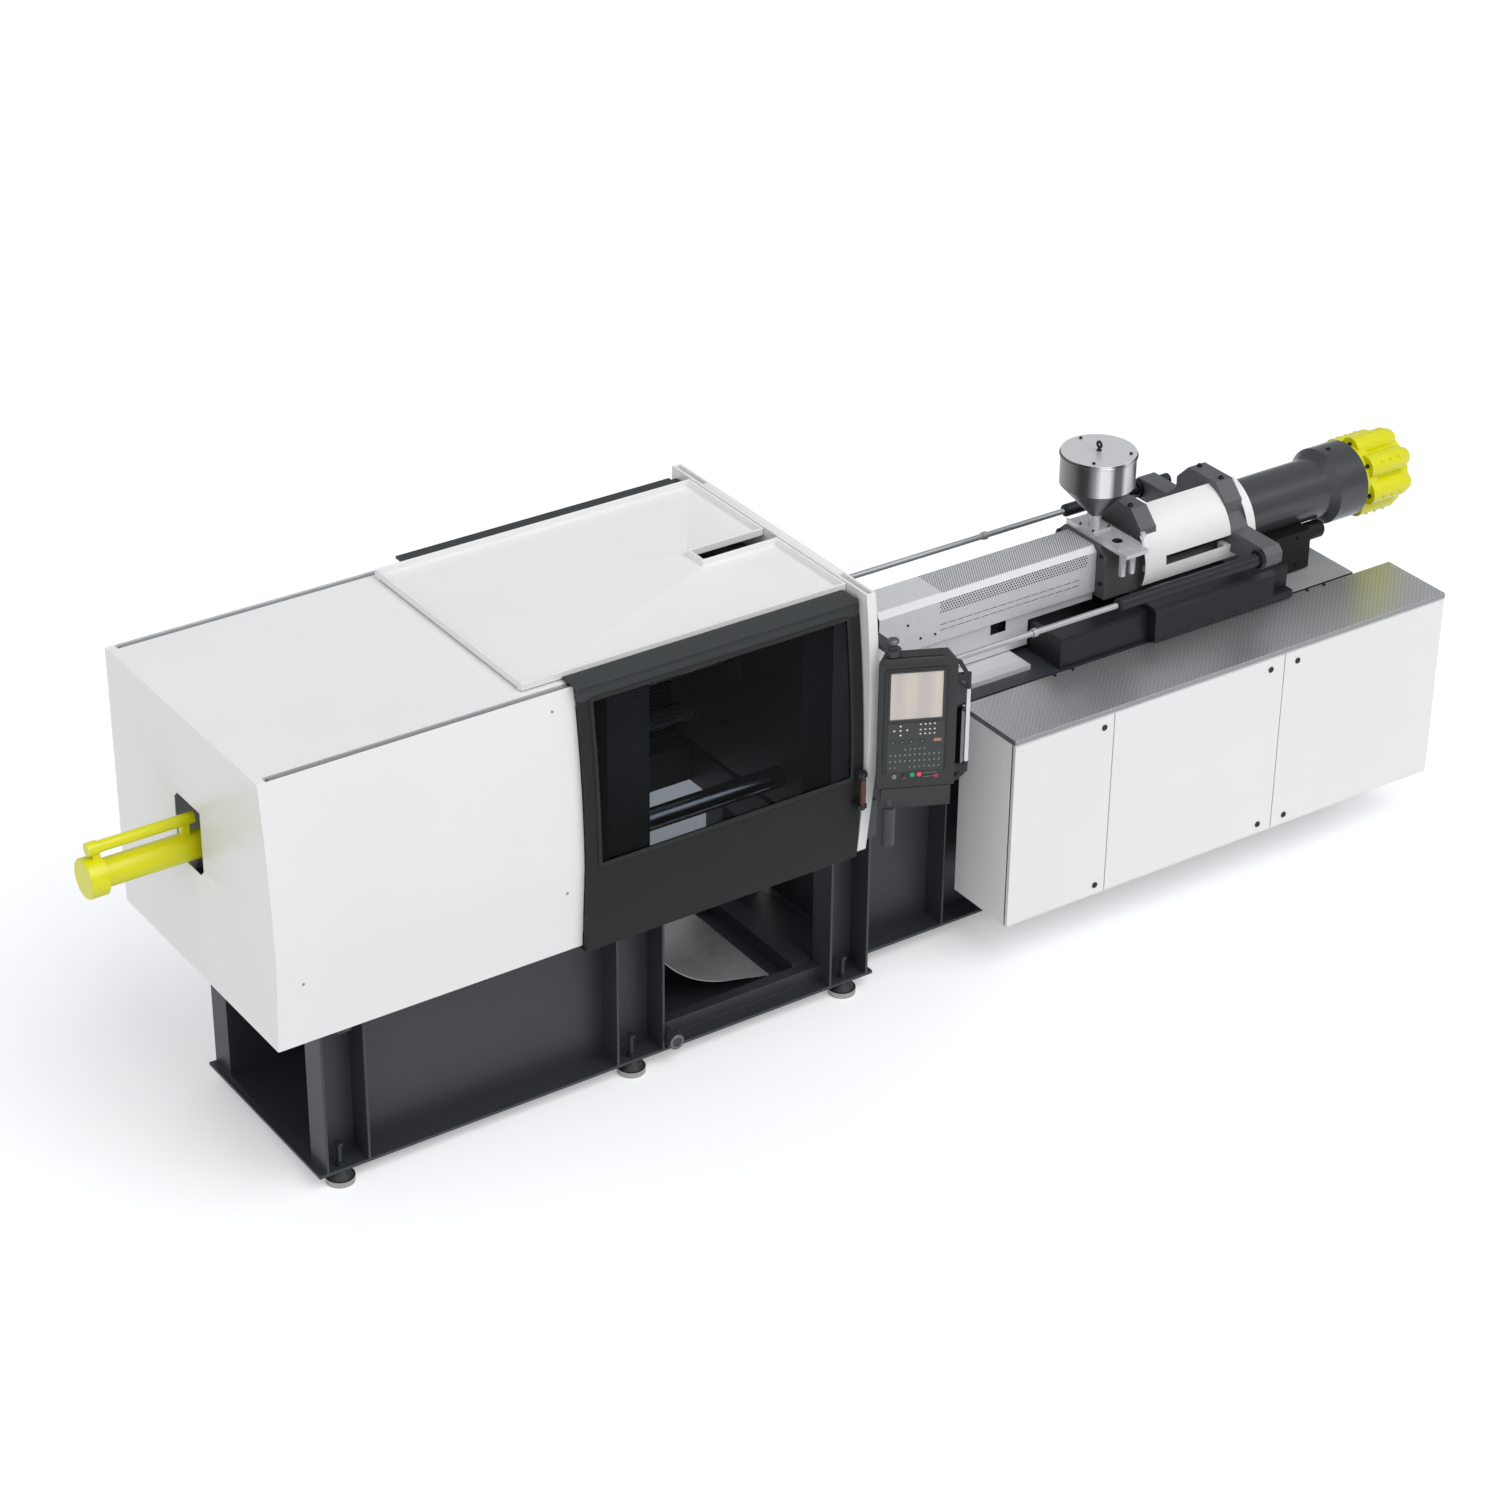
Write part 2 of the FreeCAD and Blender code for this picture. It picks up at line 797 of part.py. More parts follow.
def clamp_base():
    """The welded base: plate, six channel posts, beams with slideways, and cross members."""
    plate = prism("clamp_base_plate", "xy",
                  [(base_start, -d.base_half), (base_end, -d.base_half),
                   (base_end, d.base_half), (base_start, d.base_half)], 0, d.base_plate)
    holes = [(x, side * foot_side, d.stud_radius + d.running_gap)
             for x in foot_stations for side in (-1, 1)]
    bore(plate, "clamp_base_stud_holes", "xy", holes)
    pieces = [plate]
    beam_inner = d.base_half - d.post_depth
    for side, hand in ((-1, "front"), (1, "rear")):
        for number, (start, width) in enumerate(zip(post_starts, post_widths), start=1):
            pieces.append(channel_post("%s_post_%d" % (hand, number), start, width, side,
                                       beam_bottom))
        pieces.append(box("%s_beam" % hand, (base_start, base_end),
                          both(beam_inner, d.base_half, side), (beam_bottom, beam_top)))
        pieces.append(box("%s_slideway" % hand, (end_back, base_end - d.post_wall),
                          both(d.slide_inner, d.slide_outer, side), (beam_top, slide_top)))
        pieces.append(box("%s_panel" % hand,
                          (post_starts[0] + d.first_post_width, post_starts[1]),
                          both(beam_inner, beam_inner + d.post_wall, side),
                          (d.base_plate, beam_bottom)))
        for number, station in enumerate(arm_stations, start=1):
            span = (station, station + d.rail_arm_width)
            pieces.append(box("%s_rail_arm_%d" % (hand, number), span,
                              both(d.base_half, d.base_half + d.rail_arm_reach, side),
                              (lower_rail_bottom - d.rail_arm_thickness, lower_rail_bottom)))
            if number < 3:
                pieces.append(box("%s_cover_arm_%d" % (hand, number), span,
                                  both(d.base_half, d.base_half + d.cover_arm_reach, side),
                                  (cover_bottom + d.cover_sheet,
                                   cover_bottom + d.rail_arm_width)))
        pieces.append(box("%s_sill" % hand,
                          (post_starts[1] + d.middle_post_width, post_starts[2]),
                          both(beam_inner, beam_inner + d.sill_width, side),
                          (d.base_plate, d.base_plate + d.sill_height)))
    for name, start in (("end_member", end_back), ("fixed_member", fixed_face)):
        pieces.append(box(name, (start, start + d.platen_thickness), (-beam_inner, beam_inner),
                          (beam_bottom, beam_top)))
    pieces.append(box("chute_member", (post_starts[1] + d.middle_post_width - d.post_wall,
                                       post_starts[1] + d.middle_post_width),
                      (-beam_inner, beam_inner), (d.base_plate, beam_bottom)))
    low_end = post_starts[2] - d.injection_wall
    pieces.append(box("low_member", (low_end - d.low_member_width, low_end),
                      (-beam_inner, beam_inner),
                      (d.base_plate, d.base_plate + d.low_member_height)))
    return node("clamp_base", fuse("clamp_base", *pieces))


def injection_base():
    """The welded base of the injection unit: plate, side walls, end walls, ribs and deck."""
    wall_in = d.injection_wall_half - d.injection_wall
    pieces = [box("injection_plate", (injection_start, injection_end),
                  (-d.injection_half, d.injection_half), (0, d.base_plate)),
              box("injection_deck_plate", (injection_start, injection_end),
                  (-d.deck_half, d.deck_half), (deck - d.base_plate, deck))]
    for side, hand in ((-1, "front"), (1, "rear")):
        pieces.append(box("%s_wall" % hand,
                          (injection_start + d.rib_margin, injection_end - d.rib_margin),
                          both(wall_in, d.injection_wall_half, side),
                          (d.base_plate, deck - d.base_plate)))
    second = injection_start + d.second_rib
    ribs = (injection_start + d.rib_margin, second, second + d.rib_pitch, second + 2 * d.rib_pitch,
            injection_end - d.last_rib)
    for number, start in enumerate(ribs, start=1):
        for side, hand in ((-1, "front"), (1, "rear")):
            reach = d.injection_half if number > 1 else d.deck_half
            pieces.append(box("%s_rib_%d" % (hand, number), (start, start + d.injection_wall),
                              both(wall_in, reach, side), (d.base_plate, deck - d.base_plate)))
        if number in (1, 5):
            pieces.append(box("end_wall_%d" % number, (start, start + d.injection_wall),
                              (-wall_in, wall_in), (d.base_plate, deck - d.base_plate)))
    return node("injection_base", fuse("injection_base", *pieces))


def levelling_feet():
    """Round machine feet with their studs, screwed up through the base plate."""
    feet = []
    for number, x in enumerate(foot_stations, start=1):
        for side, hand in ((-1, "front"), (1, "rear")):
            y = side * foot_side
            disc = rod("%s_foot_disc_%d" % (hand, number), "z", -d.foot_height,
                       -d.foot_height + d.foot_disc, (x, y), d.foot_radius)
            cap = taper("%s_foot_cap_%d" % (hand, number), "z", -d.foot_height + d.foot_disc,
                        0, (x, y), d.foot_radius * 0.85, d.foot_radius * 0.45)
            stud = rod("%s_foot_stud_%d" % (hand, number), "z", 0, d.stud_top, (x, y),
                       d.stud_radius)
            head = hex_nut("%s_foot_nut_%d" % (hand, number), x, y, d.stud_top - d.stud_head,
                           d.stud_top, d.stud_radius * 1.7)
            lock = hex_nut("%s_foot_lock_%d" % (hand, number), x, y, d.base_plate,
                           d.base_plate + d.stud_head, d.stud_radius * 1.7)
            feet.append(fuse("%s_foot_%d" % (hand, number), disc, cap, stud, head, lock))
    return node("levelling_feet", group("levelling_feet", *feet))


def hex_nut(name, x, y, bottom, top, radius):
    """A six-sided nut standing on its flat."""
    points = [(x + radius * math.cos(math.radians(turn)), y + radius * math.sin(math.radians(turn)))
              for turn in range(0, 360, 60)]
    return prism(name, "xy", points, bottom, top)


def drain_pipe():
    """The capped drain of the base: a short pipe with a flange ring and a cap."""
    x = post_starts[1] + d.middle_post_width + d.drain_offset
    inner = d.base_half - d.post_depth + 60
    outer = d.base_half + 40
    pipe = rod("drain_tube", "y", -outer, -inner, (x, d.drain_height), d.drain_radius)
    ring = rod("drain_ring", "y", -outer + 18, -outer + 28, (x, d.drain_height),
               d.drain_cap_radius + 3)
    cap = rod("drain_cap", "y", -outer - 6, -outer + 16, (x, d.drain_height),
              d.drain_cap_radius)
    return node("drain_pipe", fuse("drain_pipe", pipe, ring, cap))


def drop_chute():
    """The curved sheet that moulded parts slide down, from the mould space to the floor."""
    start = post_starts[1] + d.middle_post_width
    top, low = d.chute_top, d.chute_top - d.chute_drop
    end = start + d.chute_reach
    half = d.base_half - d.post_depth - 20
    bend = d.chute_reach * 1.25
    points = [(start, top, bend), (end, low), (end + 190, d.base_plate + 60),
              (end + 190, d.base_plate + 60 - d.chute_sheet), (end, low - d.chute_sheet, -bend),
              (start, top - d.chute_sheet)]
    sheet_metal = prism("chute_sheet", "xz", points, -half, half)
    legs = [box("chute_leg_%s" % hand, (end + 186, end + 190),
                both(half - 60, half, side), (d.base_plate, d.base_plate + 60 - d.chute_sheet / 2))
            for side, hand in ((-1, "front"), (1, "rear"))]
    return node("drop_chute", fuse("drop_chute", sheet_metal, *legs))


# ---------------------------------------------------------------- covers and guards

def belly_profile(outward, thickness, bottom, top):
    """The bellied section of the operator's side: an arc above the belly, a flat below it.

    It lies outward from the fixed cover's own face and has the given thickness.
    """
    belly = d.cover_half_belly + outward
    reach = (top - belly_height) / (cover_top - belly_height)
    head = d.cover_half_top + outward + (d.cover_half_belly - d.cover_half_top) * (1 - reach)
    fall = (belly_height - bottom) / (belly_height - cover_bottom)
    foot = belly - (d.cover_half_belly - d.cover_half_bottom) * fall
    return [(-foot, bottom), (-belly, belly_height, -d.belly_radius), (-head, top),
            (-head + thickness, top, d.belly_radius - thickness),
            (-belly + thickness, belly_height), (-foot + thickness, bottom)]


def bellied_sheet(name, start, end, outward, thickness, bottom, top):
    """A sheet with the bellied section, from one station along the machine to another."""
    return prism(name, "yz", belly_profile(outward, thickness, bottom, top), start, end)


def front_cover():
    """The bellied front cover, with its top and bottom edges folded in."""
    inner_foot = d.cover_half_bottom - d.cover_sheet
    skin = bellied_sheet("front_cover_skin", 0, cover_end, size(0), d.cover_sheet,
                         cover_bottom, cover_top)
    hem = box("front_cover_hem", (d.cover_sheet, cover_end), (-inner_foot - 1, -inner_foot + d.cover_return),
              (cover_bottom, cover_bottom + d.cover_sheet))
    return node("front_cover", fuse("front_cover", skin, hem))


def rear_cover():
    """The flat rear cover, with its bottom edge folded in."""
    inner = d.cover_half_top - d.cover_sheet
    skin = box("rear_cover_skin", (0, cover_end), (inner, d.cover_half_top),
               (cover_bottom, cover_top))
    hem = box("rear_cover_hem", (d.cover_sheet, cover_end), (inner - d.cover_return, inner),
              (cover_bottom, cover_bottom + d.cover_sheet))
    return node("rear_cover", fuse("rear_cover", skin, hem))


def end_cover():
    """The end sheet, cut to the front cover's belly, with a hole for the clamp cylinder."""
    half = d.cover_half_top - d.cover_sheet
    front_edge = belly_profile(size(0), d.cover_sheet, cover_bottom, cover_top)[3:]
    skin = prism("end_cover_skin", "yz", [(half, cover_bottom), (half, cover_top), *front_edge],
                 0, d.cover_sheet)
    bottom, top = d.axis_height - d.end_hole_bottom, d.axis_height + d.end_hole_top
    left = -d.end_hole_width / 2 - d.end_hole_shift
    right = d.end_hole_width / 2 - d.end_hole_shift
    notch = d.end_hole_notch
    hole = prism("end_cover_hole", "yz",
                 [(left, bottom + notch), (left + notch, bottom), (right, bottom),
                  (right, top - notch), (right - notch, top), (left, top)],
                 -d.cover_sheet, d.cover_sheet * 2)
    hem = box("end_cover_hem", (d.cover_sheet, d.cover_sheet + 40), (-half, half),
              (cover_top - 3 * d.cover_sheet, cover_top - d.cover_sheet))
    return node("end_cover", fuse("end_cover", cut("end_cover_cut", skin, hole), hem))


def roof_cover():
    """The roof sheet between the gates' rails, with its long edges folded down."""
    skin_bottom = cover_top - d.cover_sheet
    pieces = [box("roof_skin", (d.cover_sheet, cover_end), (-d.roof_half, d.roof_half),
                  (skin_bottom, cover_top))]
    for side, hand in ((-1, "front"), (1, "rear")):
        pieces.append(box("roof_edge_%s" % hand, (d.cover_sheet + 40, cover_end),
                          both(d.roof_half - d.cover_sheet, d.roof_half, side),
                          (cover_top - d.lintel_depth, skin_bottom)))
        pieces.append(box("roof_shelf_%s" % hand, (d.cover_sheet + 40, cover_end),
                          both(d.roof_half, d.cover_half_top - d.cover_sheet, side),
                          (cover_top - d.lintel_depth,
                           cover_top - d.lintel_depth + d.cover_sheet)))
    return node("roof_cover", fuse("roof_cover", *pieces))


rail_top = cover_top - d.cover_sheet
rail_start = cover_end - d.gate_travel - d.rail_spare


def gate_rails():
    """Upper rails in the roof's grooves, lintels over the mould space, and lower rails.

    Each upper rail and lintel are one piece, joined by the ledge under the groove.
    """
    rails = []
    for side, hand in ((-1, "front"), (1, "rear")):
        upper = box("upper_rail_%s" % hand, (rail_start, surround_start),
                    both(d.rail_centre - d.rail_width / 2, d.rail_centre + d.rail_width / 2, side),
                    (cover_top - d.lintel_depth + d.cover_sheet, rail_top))
        lintel = box("lintel_%s" % hand, (cover_end, surround_start),
                     both(d.rail_centre - d.lintel_width, d.roof_half, side),
                     (cover_top - d.lintel_depth, cover_top))
        ledge = box("ledge_%s" % hand, (cover_end, surround_start),
                    both(d.roof_half, d.rail_centre + d.rail_width / 2, side),
                    (cover_top - d.lintel_depth,
                     cover_top - d.lintel_depth + d.cover_sheet))
        rails.append(fuse("upper_guide_%s" % hand, upper, lintel, ledge))
        rails.append(box("lower_rail_%s" % hand, (rail_start, gate_end),
                         both(d.base_half + d.rail_arm_reach - d.lower_rail,
                              d.base_half + d.rail_arm_reach, side),
                         (lower_rail_bottom, lower_rail_top)))
    return node("gate_rails", group("gate_rails", *rails))


gate_inner = d.gate_proud - d.gate_thickness
gate_bottom = cover_bottom - d.gate_drop
window_bottom = gate_bottom + d.gate_sill
window_top = cover_top - d.gate_head
window_through = (-d.cover_half_belly - d.cover_half_top / 4, -d.cover_half_top * 0.9)


def gate_skin(name, start, end, outward, thickness):
    """A piece of the front gate's bellied section, over the gate's whole height."""
    return bellied_sheet(name, start, end, outward, thickness, gate_bottom,
                         cover_top + d.header_lift)


def front_gate():
    """The bellied sliding gate: one frame round the window, a header and a foot."""
    start, end = cover_end, gate_end
    slab = gate_skin("front_gate_slab", start, end, d.gate_proud, d.gate_thickness)
    opening = box("front_gate_opening", (start + d.gate_stile, end - d.gate_stile),
                  window_through, (window_bottom, window_top))
    frame = cut("front_gate_frame", slab, opening)
    header_bottom = cover_top + d.header_lift
    header = box("front_gate_header", (start - 16, end - 18), (-d.header_outer, -d.header_inner),
                 (header_bottom, header_bottom + d.header_thickness))
    shoes = [box("front_gate_shoe_%d" % number, (station, station + d.shoe_length),
                 (-d.rail_centre - d.shoe_width / 2, -d.rail_centre + d.shoe_width / 2),
                 (rail_top + d.running_gap, header_bottom))
             for number, station in enumerate((start - 16, end - 160), start=1)]
    foot = box("front_gate_foot", (start, end), (-d.cover_half_bottom - gate_inner - 4,
                                                 -d.base_half - 95),
               (lower_rail_top + d.running_gap, lower_rail_top + d.running_gap + 8))
    return node("front_gate", fuse("front_gate", frame, header, *shoes, foot))


def front_window():
    """The bellied window pane, let into the gate's frame."""
    sheet_glass = gate_skin("front_window_sheet", cover_end, gate_end,
                            d.gate_proud - d.window_inset, d.window_thickness)
    opening = box("front_window_outline", (cover_end + d.gate_stile, gate_end - d.gate_stile),
                  window_through, (window_bottom, window_top))
    return node("front_window", overlap("front_window", sheet_glass, opening))


def gate_handle(name, station, face, side):
    """A pull handle: two feet and a grip, standing out from a gate's face."""
    bottom = d.axis_height - d.gate_handle_drop
    top = bottom + d.gate_handle_length
    out = face + d.gate_handle_reach
    width = d.gate_handle_width
    feet = [box("%s_foot_%d" % (name, number), (station, station + width),
                both(face, out, side), (low, low + d.gate_handle_foot))
            for number, low in enumerate((bottom, top - d.gate_handle_foot), start=1)]
    grip = rod("%s_grip" % name, "z", bottom, top, (station + width / 2, side * (out - 2)),
               width * 0.25)
    return fuse(name, *feet, grip)


def front_gate_handle():
    """The front gate's handle, standing on a bracket near the end of the gate."""
    face = d.cover_half_belly + d.gate_proud - 9
    handle = gate_handle("front_handle", gate_end - d.gate_handle_width - 4, face, -1)
    skin = gate_skin("front_handle_seat", gate_end - 60, gate_end, d.gate_proud,
                     d.gate_thickness + 20)
    return node("front_gate_handle", cut("front_gate_handle", handle, skin))


def rear_gate():
    """The flat rear gate: folded sheet with a header, a foot and a pull handle."""
    start, end = cover_end, gate_end
    inner = d.cover_half_top + gate_inner
    outer = inner + d.gate_thickness
    header_bottom = cover_top + d.header_lift
    slab = box("rear_gate_slab", (start, end), (inner, outer), (gate_bottom, header_bottom))
    pan = box("rear_gate_pan", (start + 30, end - 30), (inner - 1, outer - 5),
              (gate_bottom + 30, header_bottom - 40))
    header = box("rear_gate_header", (start - 50, end - 43),
                 (d.header_inner, d.rear_header_outer),
                 (header_bottom, header_bottom + d.header_thickness))
    shoes = [box("rear_gate_shoe_%d" % number, (station, station + d.shoe_length),
                 (d.rail_centre - d.shoe_width / 2, d.rail_centre + d.shoe_width / 2),
                 (rail_top + d.running_gap, header_bottom))
             for number, station in enumerate((start - 50, end - 180), start=1)]
    foot = box("rear_gate_foot", (start, end), (d.base_half + 95, inner + 4),
               (lower_rail_top + d.running_gap, lower_rail_top + d.running_gap + 8))
    handle = gate_handle("rear_handle", end - d.gate_handle_width - 30, outer, 1)
    return node("rear_gate", fuse("rear_gate", cut("rear_gate_shell", slab, pan), header,
                                  *shoes, foot, handle))


def roof_guard():
    """The sliding roof tray over the mould space: a rim all round and a slot for hoses."""
    start, end = cover_end - d.guard_overlap, gate_end + 5
    half = d.guard_half
    floor = cover_top + d.guard_lift
    tray = box("guard_block", (start, end), (-half, half), (floor, floor + d.guard_rim))
    slot_start = end - d.guard_slot_length
    slot_low = d.guard_slot_centre - d.guard_slot_width / 2
    slot_high = d.guard_slot_centre + d.guard_slot_width / 2
    wall = d.guard_wall
    hollow = box("guard_hollow", (start + wall, end - wall), (-half + wall, half - wall),
                 (floor + d.cover_sheet, floor + d.guard_rim + 1))
    kerb = box("guard_kerb", (slot_start - wall, end), (slot_low - wall, slot_high + wall),
               (floor, floor + d.guard_rim))
    slot = box("guard_slot", (slot_start, end + 1), (slot_low, slot_high),
               (floor - 1, floor + d.guard_rim + 1))
    runners = [box("guard_runner_%s" % hand, (start, end), both(half - 36, half - 22, side),
                   (cover_top + d.running_gap, floor))
               for side, hand in ((-1, "front"), (1, "rear"))]
    shell = fuse("guard_shell", cut("guard_tray", tray, hollow), kerb, *runners)
    return node("roof_guard", cut("roof_guard", shell, slot))


def platen_surround():
    """The bellied slab round the fixed platen: two wings and a bar, with grooved ends on top."""
    top, bottom = surround_top, cover_bottom - 3
    opening_half = platen_half
    slab = prism("surround_slab", "yz",
                 [(-d.surround_foot, bottom), (-d.surround_belly, belly_height,
                                               -d.belly_radius * 0.7),
                  (-d.surround_half, top), (d.surround_half, top), (d.surround_half, bottom)],
                 surround_start, surround_end)
    opening = box("surround_opening", (surround_start - 1, surround_end + 1),
                  (-opening_half, opening_half), (bottom - 1, d.axis_height + platen_half))
    grooves = [box("surround_groove_%s" % hand,
                   (surround_start + d.guard_wall, surround_end - d.guard_wall),
                   both(d.surround_half - d.surround_channel, d.surround_half - d.guard_wall, side),
                   (top - d.surround_channel_depth, top + 1))
               for side, hand in ((-1, "front"), (1, "rear"))]
    return node("platen_surround", cut("platen_surround", slab, opening, *grooves))


# ---------------------------------------------------------------- platens and toggle

def platen_blank(name, start, end):
    """A square platen blank with its corners taken off, standing on two feet."""
    half, corner = platen_half, d.platen_chamfer
    low, high = d.axis_height - half, d.axis_height + half
    points = [(-half + corner, low), (half - corner, low), (half, low + corner),
              (half, high - corner), (half - corner, high), (-half + corner, high),
              (-half, high - corner), (-half, low + corner)]
    return prism(name, "yz", points, start, end)


def corner_bores(radius):
    """The four tie bar bores of a platen."""
    return [(side * tie_half, d.axis_height + level * tie_half, radius)
            for side in (-1, 1) for level in (-1, 1)]


def mould_bolts(name, start, end):
    """Blind tapped holes for clamping the mould, in a grid round the middle of a platen."""
    return [rod("%s_%d_%d" % (name, column, row), "x", start, end,
                (column * d.mould_bolt_spacing / 2, d.axis_height + row * d.mould_bolt_spacing / 2),
                d.mould_bolt_radius)
            for column in (-3, -1, 1, 3) for row in (-3, -1, 1, 3)
            if abs(column) + abs(row) > 2 and abs(column) + abs(row) < 6]


def feet_of(name, start, end, bottom, clearance):
    """Two feet under a platen, down to the slideways."""
    return [box("%s_foot_%s" % (name, hand), (start, end),
                both(d.slide_inner, d.slide_outer, side), (bottom + clearance, platen_bottom + 45))
            for side, hand in ((-1, "front"), (1, "rear"))]


def fixed_platen():
    """The fixed platen, bored for the tie bars, the locating ring and the nozzle."""
    blank = platen_blank("fixed_blank", fixed_face, fixed_back)
    bore(blank, "fixed_tie_bores", "yz", corner_bores(d.tie_bar_radius))
    locating = rod("locating_bore", "x", fixed_face - 1, fixed_face + d.locating_depth,
                   (0, d.axis_height), d.locating_radius)
    relief = rod("nozzle_relief", "x", fixed_face + d.locating_depth, fixed_back + 1,
                 (0, d.axis_height), d.nozzle_bore)
    holes = mould_bolts("fixed_bolt", fixed_face - 1, fixed_face + d.mould_bolt_depth)
    bored = cut("fixed_bored", blank, locating, relief, *holes)
    return node("fixed_platen", fuse("fixed_platen", bored,
                                     *feet_of("fixed", fixed_face, fixed_back, slide_top, 0)))


def lug(name, start, pivot, layer, side, level, pin):
    """One cheek of a clevis: from a platen's face to its pin, with a round nose and a bore."""
    height = d.axis_height + level * d.pivot_height
    span = (start, pivot) if start.value < pivot.value else (pivot, start)
    cheek = box(name + "_cheek", span, both(layer[0], layer[1], side),
                (height - d.eye_radius, height + d.eye_radius))
    nose_span = both(layer[0], layer[1], side)
    nose = rod(name + "_nose", "y", nose_span[0], nose_span[1], (pivot, height), d.eye_radius)
    hole = rod(name + "_hole", "y", nose_span[0] - 1, nose_span[1] + 1, (pivot, height), pin)
    return cut(name, fuse(name + "_blank", cheek, nose), hole)


def clevises(name, start, pivot, layers):
    """The cheeks of a platen's four clevises."""
    return [lug("%s_%s_%s_%d" % (name, hand, row, number), start, pivot, layer, side, level,
                d.pin_radius + d.pin_gap)
            for side, hand in ((-1, "front"), (1, "rear"))
            for level, row in ((-1, "low"), (1, "high"))
            for number, layer in enumerate(layers, start=1)]


def moving_platen():
    """The moving platen with its clevises, tie bar bores, ejector bore and sliding feet."""
    blank = platen_blank("moving_blank", moving_back, moving_face)
    bore(blank, "moving_tie_bores", "yz", corner_bores(d.tie_bar_radius + d.running_gap))
    bore(blank, "ejector_hole", "yz", [(0, d.axis_height, d.ejector_bore)])
    holes = mould_bolts("moving_bolt", moving_face - d.mould_bolt_depth, moving_face + 1)
    cheeks = clevises("moving", moving_back, front_pivot,
                      ((rear_in, rear_out), (lug_in, lug_out)))
    feet = feet_of("moving", moving_back - 120, moving_face, slide_top, d.running_gap)
    return node("moving_platen", fuse("moving_platen", cut("moving_drilled", blank, *holes),
                                      *cheeks, *feet))


def end_platen():
    """The end platen with its clevises and the crosshead's guide bars."""
    blank = platen_blank("end_blank", end_back, end_face)
    bore(blank, "end_tie_bores", "yz", corner_bores(d.tie_bar_radius))
    bore(blank, "end_rod_hole", "yz", [(0, d.axis_height, d.rod_radius + 1)])
    cheeks = clevises("end", end_face, rear_pivot,
                      ((d.cross_layer, cross_out), (front_in, front_out)))
    bars = [rod("guide_bar_%s" % row, "x", end_face, rear_pivot + d.knuckle_reach + 110,
                (0, d.axis_height + level * d.guide_spacing / 2), d.guide_radius)
            for level, row in ((-1, "low"), (1, "high"))]
    return node("end_platen", fuse("end_platen", blank, *cheeks, *bars,
                                   *feet_of("end", end_back, end_face, slide_top, 0)))


def tie_bars():
    """Four ground tie bars through the three platens, with turned ends."""
    bars = []
    for number, (y, z, radius) in enumerate(corner_bores(d.tie_bar_radius), start=1):
        start, end = end_back - d.tie_nut_length - 30, fixed_back + d.tie_nut_length + 20
        points = [(start, 0), (start, radius - 6), (start + 6, radius), (end - 6, radius),
                  (end, radius - 6), (end, 0)]
        bars.append(turned("tie_bar_%d" % number, "x", points, (y, z)))
    return node("tie_bars", group("tie_bars", *bars))


def tie_bar_nuts():
    """Eight ring nuts on the ends of the tie bars, with four spanner slots each."""
    nuts = []
    for number, (y, z, _) in enumerate(corner_bores(d.tie_bar_radius), start=1):
        for hand, start in (("end", end_back - d.tie_nut_length), ("fixed", fixed_back)):
            ring = rod("%s_ring_%d" % (hand, number), "x", start, start + d.tie_nut_length,
                       (y, z), d.tie_nut_radius)
            hole = rod("%s_thread_%d" % (hand, number), "x", start - 1,
                       start + d.tie_nut_length + 1, (y, z), d.tie_bar_radius)
            slots = [box("%s_slot_%d_%d" % (hand, number, turn),
                         (start - 1, start + d.tie_nut_length + 1), (y + wide[0], y + wide[1]),
                         (z + tall[0], z + tall[1]))
                     for turn, (wide, tall) in enumerate((
                         ((-8, 8), (d.tie_nut_radius - 10, d.tie_nut_radius + 1)),
                         ((-8, 8), (-d.tie_nut_radius - 1, -d.tie_nut_radius + 10)),
                         ((d.tie_nut_radius - 10, d.tie_nut_radius + 1), (-8, 8)),
                         ((-d.tie_nut_radius - 1, -d.tie_nut_radius + 10), (-8, 8))))]
            nuts.append(cut("%s_nut_%d" % (hand, number), ring, hole, *slots))
    return node("tie_bar_nuts", group("tie_bar_nuts", *nuts))


def link_plates(name, length, layer, radius, stations):
    """The two plates of a link along X from its first pivot, with a round eye at each station."""
    pieces = []
    for side, hand in ((-1, "front"), (1, "rear")):
        span = both(layer[0], layer[1], side)
        pieces.append(box("%s_%s_bar" % (name, hand), (0, length), span,
                          (-radius * 0.62, radius * 0.62)))
        for number, station in enumerate(stations, start=1):
            pieces.append(rod("%s_%s_eye_%d" % (name, hand, number), "y", span[0], span[1],
                              (station, 0), radius))
    return pieces


def swing_link(name, level, pivot, other, body):
    """Places a link at its first pivot, turned to point at its other one."""
    rise = (other[1] - pivot[1]) * level
    run = other[0] - pivot[0]
    place = (pivot[0], 0, d.axis_height + level * pivot[1])
    seat(body, place, slope(rise, run), (0, -1, 0))
    return node(name, body)


